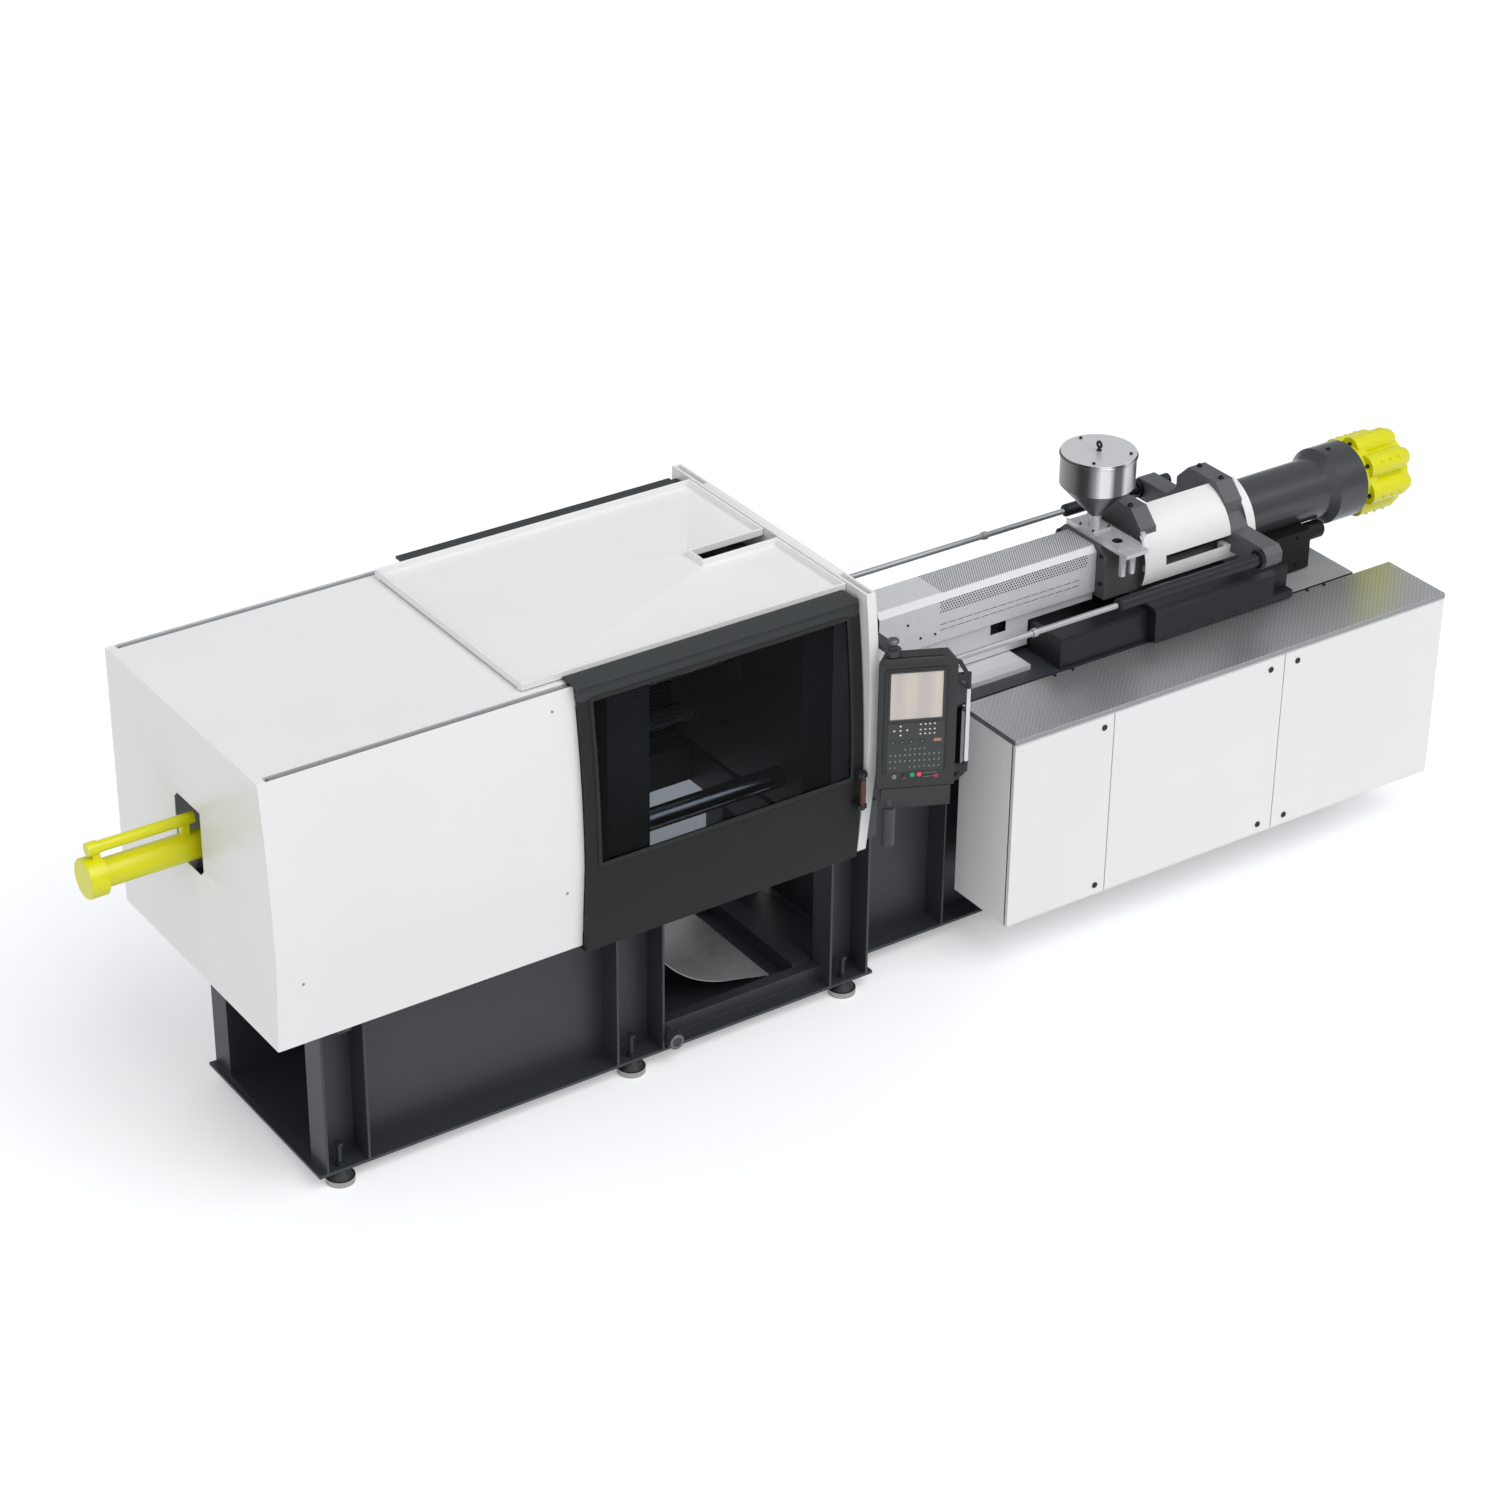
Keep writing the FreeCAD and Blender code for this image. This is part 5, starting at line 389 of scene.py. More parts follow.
def lit_screen(name):
    """The panel's screen: warm pale glass, brighter towards its middle, faintly ribbed."""
    finish = Finish(name)
    glow = finish.noise(1.0, 2.0, finish.scaled([14.0, 14.0, 0.6]))
    finish.surface(Base_Color=finish.blend(finish.ramp(glow, 0.0, 1.0, 0.35, 0.65),
                                           rgb(196, 186, 182), rgb(214, 204, 190)),
                   Roughness=finish.ramp(glow, 0.16, 0.3))
    finish.surface(Coat_Weight=0.6, Coat_Roughness=0.05)
    finish.bump(finish.noise(700.0), 0.05, 0.0001)
    return finish.material


def chromed(name):
    """Hard chrome on a ground bar: mirror-like, with fine rings from grinding."""
    finish = Finish(name)
    rings = finish.noise(1.0, 2.0, finish.scaled([700.0, 30.0, 30.0]))
    finish.surface(Base_Color=finish.blend(rings, rgb(205, 208, 211), rgb(232, 234, 236)),
                   Metallic=1.0, Roughness=finish.ramp(rings, 0.08, 0.22))
    finish.bump(rings, 0.08, 0.0001)
    return finish.material


white = paint("white_paint", rgb(240, 240, 239), gloss=0.36)
roof_white = paint("roof_white_paint", rgb(240, 240, 240), gloss=0.42)
frame_paint = paint("frame_paint", rgb(52, 56, 62), gloss=0.42, grain=500.0, depth=0.0002,
                    shade=0.86)
charcoal = paint("charcoal_paint", rgb(58, 60, 62), gloss=0.5, grain=700.0, shade=0.88)
bed_paint = paint("bed_paint", rgb(34, 37, 41), gloss=0.36, grain=500.0, shade=0.88, shine=0.3)
cast_grey = cast_paint("cast_grey_paint", rgb(80, 82, 85))
feed_grey = cast_paint("feed_casting_paint", rgb(68, 69, 71))
cylinder_grey = paint("cylinder_paint", rgb(62, 64, 67), gloss=0.24, shade=0.9)
lime = paint("lime_paint", rgb(226, 224, 4), gloss=0.32, shade=0.93, coat=0.12)
platen_grey = cast_paint("platen_paint", rgb(92, 95, 98), gloss=0.45)
ground_x = brushed("ground_steel", rgb(178, 181, 184), "y", gloss=0.34)
link_steel = brushed("link_steel", rgb(126, 129, 132), "x", gloss=0.4)
chrome = chromed("hard_chrome")
stainless = spun("stainless_spun")
slide_steel = brushed("slide_steel", rgb(224, 226, 228), "y", gloss=0.32, streak=150.0,
                      depth=0.00002, metal=0.6)
chute_sheet = brushed("chute_sheet", rgb(186, 188, 190), "z", gloss=0.4, streak=300.0, metal=0.5)
tray_sheet = brushed("tray_sheet", rgb(236, 237, 238), "x", gloss=0.4, streak=300.0, metal=0.4)
rod_steel = brushed("rod_steel", rgb(190, 193, 196), "x", gloss=0.36, metal=0.55)
black_steel = brushed("black_oxide_steel", rgb(34, 35, 37), "z", gloss=0.4, metal=0.5)
box_black = paint("drive_box_paint", rgb(20, 20, 21), gloss=0.5, grain=700.0, shine=0.25)
strip_grey = paint("strip_paint", rgb(150, 152, 154), gloss=0.4)
gate_paint = stepped("gate_paint", (rgb(29, 30, 31), 0.55, 0.0),
                     [((0, 2040), (rgb(54, 58, 59), 0.45, 0.0))], shine=0.28)
rail_paint = stepped("rail_paint", (rgb(44, 46, 48), 0.45, 0.0),
                     [((0, 2040), (rgb(150, 153, 156), 0.38, 0.3))])
deck_paint = stepped("deck_and_frame_paint", (rgb(50, 54, 60), 0.42, 0.0),
                     [((5450, 1168.5), (rgb(176, 178, 180), 0.45, 0.35))])
foot_finish = stepped("foot_finish", (rgb(166, 165, 161), 0.3, 1.0),
                      [((0, -37.5), (rgb(44, 45, 47), 0.45, 0.2))])
handle_finish = stepped("panel_handle_finish", (rgb(26, 27, 29), 0.5, 0.0),
                        [((0, 1344), (rgb(206, 208, 210), 0.24, 1.0)),
                         ((0, 1702), (rgb(26, 27, 29), 0.5, 0.0))])
rubber = moulded("black_rubber", rgb(20, 21, 22), gloss=0.7, grain=900.0)
black_plastic = moulded("black_plastic", rgb(26, 27, 29))
panel_plastic = moulded("panel_plastic", rgb(34, 36, 38), gloss=0.5)
face_plastic = moulded("panel_face_plastic", rgb(50, 54, 53), gloss=0.48)
key_plastic = moulded("dark_key_plastic", rgb(30, 32, 33), gloss=0.4)
mark_white = moulded("white_key_marks", rgb(205, 207, 205), gloss=0.4)
mark_grey = moulded("grey_key_marks", rgb(122, 126, 126), gloss=0.45)
mark_red = moulded("red_key_marks", rgb(150, 42, 66), gloss=0.4)
key_salmon = moulded("salmon_key_plastic", rgb(160, 112, 104), gloss=0.4)
grip_plastic = moulded("grip_plastic", rgb(74, 40, 30), gloss=0.42)
green_plastic = moulded("green_plastic", rgb(30, 150, 96), gloss=0.3)
red_plastic = moulded("red_plastic", rgb(214, 66, 92), gloss=0.3)
tread = tread_plate("tread_sheet")
glass = smoked_pane("smoked_pane")
screen = lit_screen("screen_glass")


# ---------------------------------------------------------------- the solids' looks

cover = Extent("barrel_cover")
pierced = pierced_sheet("pierced_cover_sheet", [cover.low[0] + 370, -96, cover.high[2] - 8],
                        [cover.high[0] - 4, 96, cover.high[2] + 5])

FINISHES = {
    white: ("front_cover", "rear_cover", "end_cover", "platen_surround", "injection_cover",
            "cabinet_body", "cabinet_door_left", "cabinet_door_middle", "cabinet_door_right"),
    roof_white: ("roof_cover", "roof_guard"),
    frame_paint: ("clamp_base", "drain_pipe"),
    deck_paint: ("injection_base",),
    gate_paint: ("front_gate", "rear_gate"),
    rail_paint: ("gate_rails",),
    charcoal: ("panel_arm",),
    bed_paint: ("carriage", "carriage_rails", "traverse_cylinders"),
    cast_grey: ("injection_yokes",),
    feed_grey: ("feed_block",),
    cylinder_grey: ("injection_cylinder",),
    lime: ("clamp_cylinder", "screw_motor"),
    platen_grey: ("end_platen", "moving_platen", "fixed_platen", "crosshead"),
    link_steel: ("rear_link_top", "rear_link_bottom", "front_link_top", "front_link_bottom",
                 "cross_link_top", "cross_link_bottom", "ejector_cylinder", "tie_bar_nuts"),
    ground_x: ("injection_piston", "screw", "barrel", "ejector_rod"),
    chrome: ("tie_bars",),
    rod_steel: ("traverse_rods",),
    stainless: ("hopper", "hopper_lid"),
    slide_steel: ("hopper_slide",),
    chute_sheet: ("drop_chute",),
    tray_sheet: ("purge_tray",),
    pierced: ("barrel_cover",),
    foot_finish: ("levelling_feet",),
    handle_finish: ("panel_handle",),
    box_black: ("drive_box",),
    black_plastic: ("front_gate_handle",),
    panel_plastic: ("control_panel",),
    green_plastic: ("start_button",),
    red_plastic: ("stop_button",),
    tread: ("cabinet_top",),
    glass: ("front_window",),
    screen: ("panel_screen",),
}


def rounding_nodes():
    """A node modifier: joins the loose triangles, and shades each round stretch smoothly."""
    tree = bpy.data.node_groups.new("smooth_rounds", "GeometryNodeTree")
    tree.interface.new_socket("Geometry", in_out="INPUT", socket_type="NodeSocketGeometry")
    tree.interface.new_socket("Geometry", in_out="OUTPUT", socket_type="NodeSocketGeometry")
    new, link = tree.nodes.new, tree.links.new
    start = new("NodeGroupInput")
    end = new("NodeGroupOutput")
    merge = new("GeometryNodeMergeByDistance")
    merge.inputs["Distance"].default_value = 0.00002
    angle = new("GeometryNodeInputMeshEdgeAngle")
    sharp = new("FunctionNodeCompare")
    sharp.data_type = "FLOAT"
    sharp.operation = "LESS_THAN"
    sharp.inputs[1].default_value = math.radians(SHARP_FOLD)
    faces = new("GeometryNodeSetShadeSmooth")
    faces.domain = "FACE"
    edges = new("GeometryNodeSetShadeSmooth")
    edges.domain = "EDGE"
    link(start.outputs[0], merge.inputs["Geometry"])
    link(merge.outputs[0], faces.inputs["Geometry"])
    link(faces.outputs[0], edges.inputs["Geometry"])
    link(angle.outputs["Unsigned Angle"], sharp.inputs[0])
    link(sharp.outputs[0], edges.inputs["Shade Smooth"])
    link(edges.outputs[0], end.inputs[0])
    return tree


ROUNDING = rounding_nodes()


def soften(node, width):
    """Shades a node's rounds smoothly and breaks its sharp edges by a small bevel."""
    node.modifiers.new("smooth_rounds", "NODES").node_group = ROUNDING
    if width:
        bevel = node.modifiers.new("broken_edges", "BEVEL")
        bevel.width = width / 1000
        bevel.segments = 2
        bevel.limit_method = "ANGLE"
        bevel.angle_limit = math.radians(BEVEL_FOLD)
        bevel.use_clamp_overlap = True
        bevel.harden_normals = True
        bevel.miter_outer = "MITER_ARC"


# Widths of the bevels in millimetres; a node that isn't named here has none.
BEVELS = {name: width for width, names in (
    (1.0, ("hopper_slide",)),
    (1.2, ("cabinet_body", "cabinet_door_left", "cabinet_door_middle", "cabinet_door_right")),
    (1.5, ("front_cover", "rear_cover", "end_cover", "roof_cover", "rear_gate", "cabinet_top")),
    (2.0, ("front_gate", "carriage_rails", "clamp_base", "injection_base")),
    (3.0, ("platen_surround", "roof_guard", "control_panel", "carriage", "injection_yokes")),
    (4.0, ("feed_block", "drive_box", "fixed_platen", "moving_platen", "end_platen")),
) for name in names}

for material, names in FINISHES.items():
    for name in names:
        nodes[name].data.materials.clear()
        nodes[name].data.materials.append(material)
        soften(nodes[name], BEVELS.get(name, 0.0))


# ---------------------------------------------------------------- surfaces for new pieces

X, Y, Z = np.eye(3)


def unit(vector):
    """A vector of length one in the same direction."""
    vector = np.asarray(vector, float)
    return vector / np.linalg.norm(vector)


def square_to(axis):
    """An axis of length one, with two directions square to it and to each other."""
    axis = unit(axis)
    helper = np.array([0.0, 0.0, 1.0]) if abs(axis[2]) < 0.9 else np.array([1.0, 0.0, 0.0])
    first = unit(np.cross(helper, axis))
    return axis, first, np.cross(axis, first)


def turned(places, axis, profile, columns=20):
    """A round piece: place + s(u) times the axis + r(u) times (cos v, sin v) square to it.

    The profile gives s and r row by row; the same piece is made at every place.
    """
    axis, first, second = square_to(axis)
    along, radius = np.array(profile, float).T
    turn = np.arange(columns) / columns * 2 * math.pi
    ring = np.cos(turn)[:, None] * first + np.sin(turn)[:, None] * second
    rows = along[:, None, None] * axis + radius[:, None, None] * ring
    return np.asarray(places, float).reshape(-1, 1, 1, 3) + rows


def outline(half, corner, steps):
    """A rounded rectangle: each corner's centre + corner times (cos v, sin v), a quarter each."""
    quarter = np.arange(4)[:, None]
    turn = (quarter + np.linspace(0, 1, steps)[None, :]) * math.pi / 2
    middle = (quarter + 0.5) * math.pi / 2 + np.zeros_like(turn)
    across = np.sign(np.cos(middle)) * (half[0] - corner) + corner * np.cos(turn)
    up = np.sign(np.sin(middle)) * (half[1] - corner) + corner * np.sin(turn)
    return np.stack([across.ravel(), up.ravel()], -1)


def slab(places, axes, size, edge=1.0, corner=2.0, steps=3):
    """A flat block: its rounded outline, drawn in at both ends, carried along the third axis."""
    directions = np.array([unit(axis) for axis in axes])
    width, depth, height = size
    rows = []
    for level, inset, shown in ((0, edge, 0), (0, edge, 1), (edge, 0, 1),
                                (height - edge, 0, 1), (height, edge, 1), (height, edge, 0)):
        ring = outline((width / 2 - inset, depth / 2 - inset), max(corner - inset, 0.05), steps)
        rows.append(shown * ring @ directions[:2] + level * directions[2])
    return np.asarray(places, float).reshape(-1, 1, 1, 3) + np.array(rows)


def rim(place, axes, half, corner, profile, steps=5):
    """A frame round a rounded rectangle: the profile's offset and height, carried round it."""
    directions = np.array([unit(axis) for axis in axes])
    rows = [outline((half[0] + out, half[1] + out), corner + out, steps) @ directions[:2]
            + height * directions[2] for out, height in (*profile, profile[0])]
    return np.asarray(place, float) + np.array(rows)


def tube(path, radius, side, columns=14):
    """A tube along a path that stays in the plane square to the side direction: path(u)
    + radius times (cos v, sin v). Four columns make a square bar."""
    path = np.asarray(path, float)
    ahead = np.gradient(path, axis=0)
    ahead = ahead / np.linalg.norm(ahead, axis=1)[:, None]
    side = unit(side)
    up = np.cross(ahead, side)
    turn = (np.arange(columns) + 0.5) / columns * 2 * math.pi
    ring = (np.cos(turn)[None, :, None] * side
            + np.sin(turn)[None, :, None] * up[:, None, :]) * radius
    rows = path[:, None, :] + ring
    ends = [np.repeat(end[None, :], columns, axis=0)[None] for end in (path[0], path[-1])]
    return np.concatenate([ends[0], rows, ends[1]])


def piece(name, sheets, material, body, slot, sharp=SHARP_FOLD):
    """One new piece from grids of stations, whose columns close into rings."""
    places, faces, count = [], [], 0
    for sheet in sheets:
        sheet = np.asarray(sheet, float)
        sheet = sheet.reshape(-1, *sheet.shape[-3:])
        point = count + np.arange(sheet[..., 0].size).reshape(sheet.shape[:3])
        beside = np.roll(point, -1, axis=2)
        faces.append(np.stack([point[:, :-1], beside[:, :-1], beside[:, 1:], point[:, 1:]],
                              axis=-1).reshape(-1, 4))
        places.append(metres(sheet.reshape(-1, 3)))
        count += point.size
    mesh = bpy.data.meshes.new(name)
    mesh.from_pydata(np.concatenate(places).tolist(), [], np.concatenate(faces).tolist())
    shape = bmesh.new()
    shape.from_mesh(mesh)
    bmesh.ops.remove_doubles(shape, verts=shape.verts, dist=0.000001)
    bmesh.ops.recalc_face_normals(shape, faces=shape.faces)
    shape.to_mesh(mesh)
    shape.free()
    mesh.shade_smooth()
    mesh.set_sharp_from_angle(angle=math.radians(sharp))
    mesh.materials.append(material)
    made = bpy.data.objects.new(name, mesh)
    bpy.context.scene.collection.objects.link(made)
    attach(made, body)
    return made


trees = {}


def landing(name, start, ahead):
    """Where a straight line from a station meets a node, and the way the node faces there."""
    if name not in trees:
        mesh = nodes[name].data
        corners = np.empty(len(mesh.vertices) * 3)
        mesh.vertices.foreach_get("co", corners)
        loops = np.empty(len(mesh.loops), int)
        mesh.loops.foreach_get("vertex_index", loops)
        trees[name] = BVHTree.FromPolygons(corners.reshape(-1, 3).tolist(),
                                           loops.reshape(-1, 3).tolist())
    place, facing, _, _ = trees[name].ray_cast(Vector(metres(start)), Vector(ahead))
    if place is None:
        raise ValueError("nothing of %s lies ahead of %s" % (name, start))
    facing = np.array(facing)
    if np.dot(facing, ahead) > 0:
        facing = -facing
    return (np.array(place) - origin) * 1000, facing


def cap_screw(radius, height):
    """The profile of a screw's round head with its socket."""
    return [(-0.5, 0), (-0.5, radius), (height * 0.8, radius), (height, radius * 0.86),
            (height, radius * 0.52), (height * 0.4, radius * 0.46), (height * 0.4, 0)]


def hex_head(radius, height):
    """The profile of a six-sided head with a broken top edge."""
    return [(-0.5, 0), (-0.5, radius), (height * 0.86, radius), (height, radius * 0.88),
            (height, 0)]


def fixings(name, carrier, starts, ahead, profile, body="injection_carriage",
            material=black_steel, slot="dark_paint", columns=16):
    """Screws that sit on a node where straight lines from the given stations meet it."""
    sheets = []
    for start in starts:
        place, facing = landing(carrier, start, ahead)
        sheets.append(turned(place, facing, profile, columns))
    return piece(name, sheets, material, body, slot)


def bolt_circle(station, radius, count):
    """Stations on a circle round the machine's axis: count equal turns, from half of one on."""
    turns = (np.arange(count) + 0.5) / count * 2 * math.pi
    return [(station, radius * math.cos(turn), AXIS + radius * math.sin(turn)) for turn in turns]


# ---------------------------------------------------------------- clamp unit's small pieces

def cover_details():
    """Screws in the bellied covers, where the photograph shows them, and their mirror images."""
    places = [(1336, 2020), (1363, 1164), (119, 1165)]
    for side, hand in SIDES:
        fixings(hand + "_cover_screws", hand + "_cover", [(x, side * 900, z) for x, z in places],
                (0, -side, 0), cap_screw(6, 3), "machine_frame", strip_grey)


def window_gasket():
    """The rubber strip round the gate's window: the profile's offset and height, carried round a
    rounded rectangle whose runs are cut finely, and laid on the gate's belly."""
    pane = Extent("front_window")
    heights = np.linspace(pane.low[2] - 6, pane.high[2] + 6, 15)
    belly = [landing("front_gate", (pane.low[0] - 8, -1000, height), Y)[0][1]
             for height in heights]
    profile = ((-12, -1), (-11, 4), (-7, 6.5), (3, 6.5), (6, 4), (7, -1))
    steps = np.linspace(0, 1, 9)[:-1, None]
    rows = []
    for out, height in (*profile, profile[0]):
        ring = outline((pane.size[0] / 2 + out, pane.size[2] / 2 + out), 14 + out, 4)[:, None]
        ring = (ring * (1 - steps) + np.roll(ring, -1, axis=0) * steps).reshape(-1, 2)
        level = pane.middle[2] + ring[:, 1]
        rows.append(np.stack([pane.middle[0] + ring[:, 0],
                              np.interp(level, heights, belly) - height, level], -1))
    piece("window_gasket", [rows], rubber, "front_gate", "black_plastic", sharp=50)


def gate_details():
    """The brown sleeve on the gate's handle, with a collar at each end."""
    handle = Extent("front_gate_handle")
    radius = 13.5
    x, y = handle.middle[0], handle.low[1] + 11
    low, high = handle.low[2] + 34, handle.high[2] - 34
    piece("gate_grip", [turned((x, y, low), Z, [
        (0, 0), (0, radius - 2), (3, radius + 1), (8, radius + 1), (12, radius),
        ((high - low) / 2, radius + 1.2), (high - low - 12, radius), (high - low - 8, radius + 1),
        (high - low - 3, radius + 1), (high - low, radius - 2), (high - low, 0)], 24)],
          grip_plastic, "front_gate", "red_plastic")


def clamp_details():
    """Screws in the clamp cylinder's end, the bright drain ring and the panel arm's cap."""
    cylinder = Extent("clamp_cylinder")
    fixings("clamp_cylinder_screws", "clamp_cylinder", bolt_circle(cylinder.low[0] - 60, 88, 8),
            X, cap_screw(9, 9), "machine_frame")
    drain = Extent("drain_pipe")
    piece("drain_ring", [turned((drain.middle[0], drain.low[1] + 6, drain.middle[2]), -Y, [
        (0, 24), (0, 33), (2, 35), (6, 35), (8, 33), (8, 24), (0, 24)], 28)],
          link_steel, "machine_frame", "ground_steel")
    arm = Extent("panel_arm")
    piece("panel_pivot_cap", [turned((*PANEL_POST[:2], arm.high[2]), Z, [
        (-7, 0), (-7, 25), (1, 26), (6, 24), (10, 18), (12, 9), (12.5, 0)], 28)],
          link_steel, "machine_frame", "ground_steel", sharp=50)


# ---------------------------------------------------------------- injection unit's small pieces

def carriage_details():
    """Screws of the yokes, feed block, flange and drive box, and the cylinder's plug."""
    starts = [(x, side * y, 1900) for x, y in ((4880, 72), (5429, 78)) for side in (-1, 1)]
    fixings("yoke_screws", "injection_yokes", starts, -Z, cap_screw(13, 11))
    starts = [(4500, side * 160, z) for z in (1577, 1432) for side in (-1, 1)]
    fixings("feed_block_screws", "feed_block", starts, X, cap_screw(11, 10))
    fixings("flange_screws", "injection_cylinder", bolt_circle(5600, 161, 12), -X, cap_screw(9, 9))
    box = Extent("drive_box")
    starts = [(x, -600, z) for x in (box.low[0] + 22, box.low[0] + 150) for z in (1355, 1212)]
    fixings("drive_box_screws", "drive_box", starts, Y, cap_screw(8, 8))
    plug = [(-0.5, 0), (-0.5, 13), (3, 13), (4, 11.5), (4, 8), (1, 7), (1, 0)]
    fixings("housing_plug", "injection_cylinder", [(6178, -8, 2000)], -Z, plug)


def motor_details():
    """Small screws along the motor's lobes and the six-sided fittings of its oil lines."""
    start = np.array([Extent("screw_motor").low[0], 0, AXIS])
    screws, fittings = [], []
    for turn in np.arange(7) / 7 * 2 * math.pi + math.pi / 2:
        way = np.array([0, math.cos(turn), math.sin(turn)])
        for back in (96, 150, 204):
            place, facing = landing("screw_motor", start + back * X + 500 * way, -way)
            screws.append(turned(place, facing, cap_screw(6.5, 6), 14))
        place, facing = landing("screw_motor", start + 24 * X + 500 * way, -way)
        fittings.append(turned(place, facing, hex_head(11, 12), 6))
    piece("motor_screws", screws, lime, "injection_carriage", "lime_paint")
    piece("motor_fittings", fittings, black_steel, "injection_carriage", "dark_paint")


def traverse_details():
    """Lock nuts where the traverse cylinders go through the yoke's ears, and wiper rings where
    their rods come out."""
    height = Extent("traverse_cylinders").middle[2]
    nut = Extent("injection_yokes").high[0] - 103
    piece("traverse_nuts", [turned(
        [(nut, side * TRAVERSE_LINE, height) for side, _ in SIDES], -X,
        [(0, 30), (0, 46), (3, 48), (21, 48), (24, 46), (24, 32), (0, 30)], 8)],
          black_steel, "injection_carriage", "dark_paint")
    places = []
    for side, _ in SIDES:
        end = landing("traverse_cylinders", (3000, side * (TRAVERSE_LINE + 25), height), X)[0]
        places.append((end[0] - 0.5, side * TRAVERSE_LINE, height))
    piece("traverse_wipers", [turned(places, -X, [
        (0, 15), (0, 29), (4, 30), (8, 26), (12, 17), (12, 15), (0, 15)], 24)],
          rubber, "injection_carriage", "black_plastic", sharp=50)


def cover_screws():
    """Screws in the plain front part of the barrel cover, and their mirror images."""
    places = ((3560, 1513), (3718, 1423), (3635, 1426))
    for side, hand in SIDES:
        fixings("barrel_cover_screws_" + hand, "barrel_cover",
                [(x, side * 300, z) for x, z in places], (0, -side, 0), cap_screw(6, 4))


def cover_piercings():
    """The cover's rows of round holes and its two lines of slots, as dark inlays on its sides that
    paint the shade inside them.
    """
    across = np.arange(cover.low[0] + 345, cover.high[0] - 62, 15.0)
    x, z = np.meshgrid(across, 1527.0 + 13.0 * np.arange(5))
    x = x + 7.5 * (np.arange(5) % 2)[:, None]
    hole_shade = [(-0.3, 0), (-0.3, 4.4), (0.3, 4.4), (0.3, 0)]
    slots_x, slots_z = np.meshgrid(np.arange(cover.low[0] + 365, cover.high[0] - 80, 48.0),
                                   [1462.0, 1434.0])
    for side, hand in SIDES:
        face = landing("barrel_cover", (4000, side * 300, 1550), (0, -side, 0))[0][1]
        places = np.stack([x, np.full_like(x, face), z], -1)
        # Dark discs and slabs stand for the holes and slots: painted shade, not openings.
        piece("barrel_cover_hole_shade_" + hand, [turned(places, side * Y, hole_shade, 8)], black_steel,
              "injection_carriage", "dark_paint")
        places = np.stack([slots_x, np.full_like(slots_x, face - 0.3 * side), slots_z], -1)
        piece("barrel_cover_slot_shade_" + hand,
              [slab(places, (X, Z, side * Y), (42, 3, 0.6), 0.1, 1.4, 2)],
              black_steel, "injection_carriage", "dark_paint")


def hopper_details():
    """The bead under the hopper's lid, the lid's ring bolt and screws, the flange's screws, and
    the sleeve under the hopper's slide."""
    drum = Extent("hopper")
    x = drum.middle[0]
    radius = drum.size[0] / 2
    turn = np.linspace(0, 2 * math.pi, 13)
    bead = np.stack([4 * np.sin(turn), radius + 2.6 + 4 * np.cos(turn)], -1)
    piece("hopper_bead", [turned((x, 0, drum.high[2] - 10), Z, bead, 64)], stainless, "hopper",
          "stainless", sharp=60)
    ring = np.stack([6.2 * np.sin(turn), 14 + 6.2 * np.cos(turn)], -1)
    collar = [(-0.5, 0), (-0.5, 13), (3, 13), (5, 11), (5, 0)]
    piece("hopper_ring_bolt", [turned((x, 0, drum.high[2] + 35), X, ring, 28),
                               turned((x, 0, drum.high[2] + 5), Z, collar, 24)], black_steel,
          "hopper", "dark_paint", sharp=60)
    plate = landing("hopper_slide", (x + 50, -170, 1800), -Z)[0][2]
    sleeve = [(0.6, 25.6), (19, 25.6), (19, 21.5), (0.6, 21.5), (0.6, 25.6)]
    piece("slide_sleeve", [turned((x, -170, plate), -Z, sleeve, 28)], rubber,
          "injection_carriage", "black_plastic")
    starts = [(x + 150 * math.cos(turn), 150 * math.sin(turn), 2300)
              for turn in np.radians([-48, -138, 86])]
    fixings("hopper_lid_screws", "hopper_lid", starts, -Z, cap_screw(8, 7), "hopper")
    starts = [(x + across, along, 1690) for across in (-47, 47) for along in (-47, 47)]
    fixings("hopper_flange_screws", "hopper", starts, -Z, cap_screw(6, 6), "hopper")


# ---------------------------------------------------------------- cabinet's small pieces

def cabinet_details():
    """The strip along the lid's front edge, the lid's screws and the doors' locks."""
    lid = Extent("cabinet_top")
    place = (lid.middle[0], lid.low[1] + 0.4, lid.middle[2])
    piece("cabinet_lid_strip",
          [slab(place, (X, Z, -Y), (lid.size[0] - 4, lid.size[2] - 8, 2.4), 0.8)],
          strip_grey, "machine_frame", "dark_paint")
    starts = [(x, lid.high[1] - 14, 1300) for x in (4225, 4331, 5770, 5876)]
    fixings("cabinet_lid_screws", "cabinet_top", starts, -Z, cap_screw(8, 6), "machine_frame")
    lock = [(-0.5, 0), (-0.5, 15), (3, 15), (4.5, 13.5), (4.5, 7), (2, 6.5), (2, 0)]
    for hand, station in (("left", 4217), ("middle", 5215), ("right", 5380)):
        fixings("cabinet_locks_" + hand, "cabinet_door_" + hand,
                [(station, -900, z) for z in (1080, 235)], Y, lock, "cabinet_door_" + hand,
                black_plastic, "black_plastic", 24)


# ---------------------------------------------------------------- control panel's small pieces

panel_turn = math.radians(PANEL_TURN)
panel_across = np.array([math.cos(panel_turn), math.sin(panel_turn), 0.0])
panel_out = np.array([math.sin(panel_turn), -math.cos(panel_turn), 0.0])
PANEL_AXES = (panel_across, Z, panel_out)


def on_panel(across, height, out=0.0):
    """Stations of places on the panel's face, from its left edge, with their height."""
    across, height = np.broadcast_arrays(np.asarray(across, float), np.asarray(height, float))
    return (PANEL_POST + (across[..., None] - PANEL_LEFT) * panel_across
            + (PANEL_FACE + out) * panel_out + height[..., None] * Z)


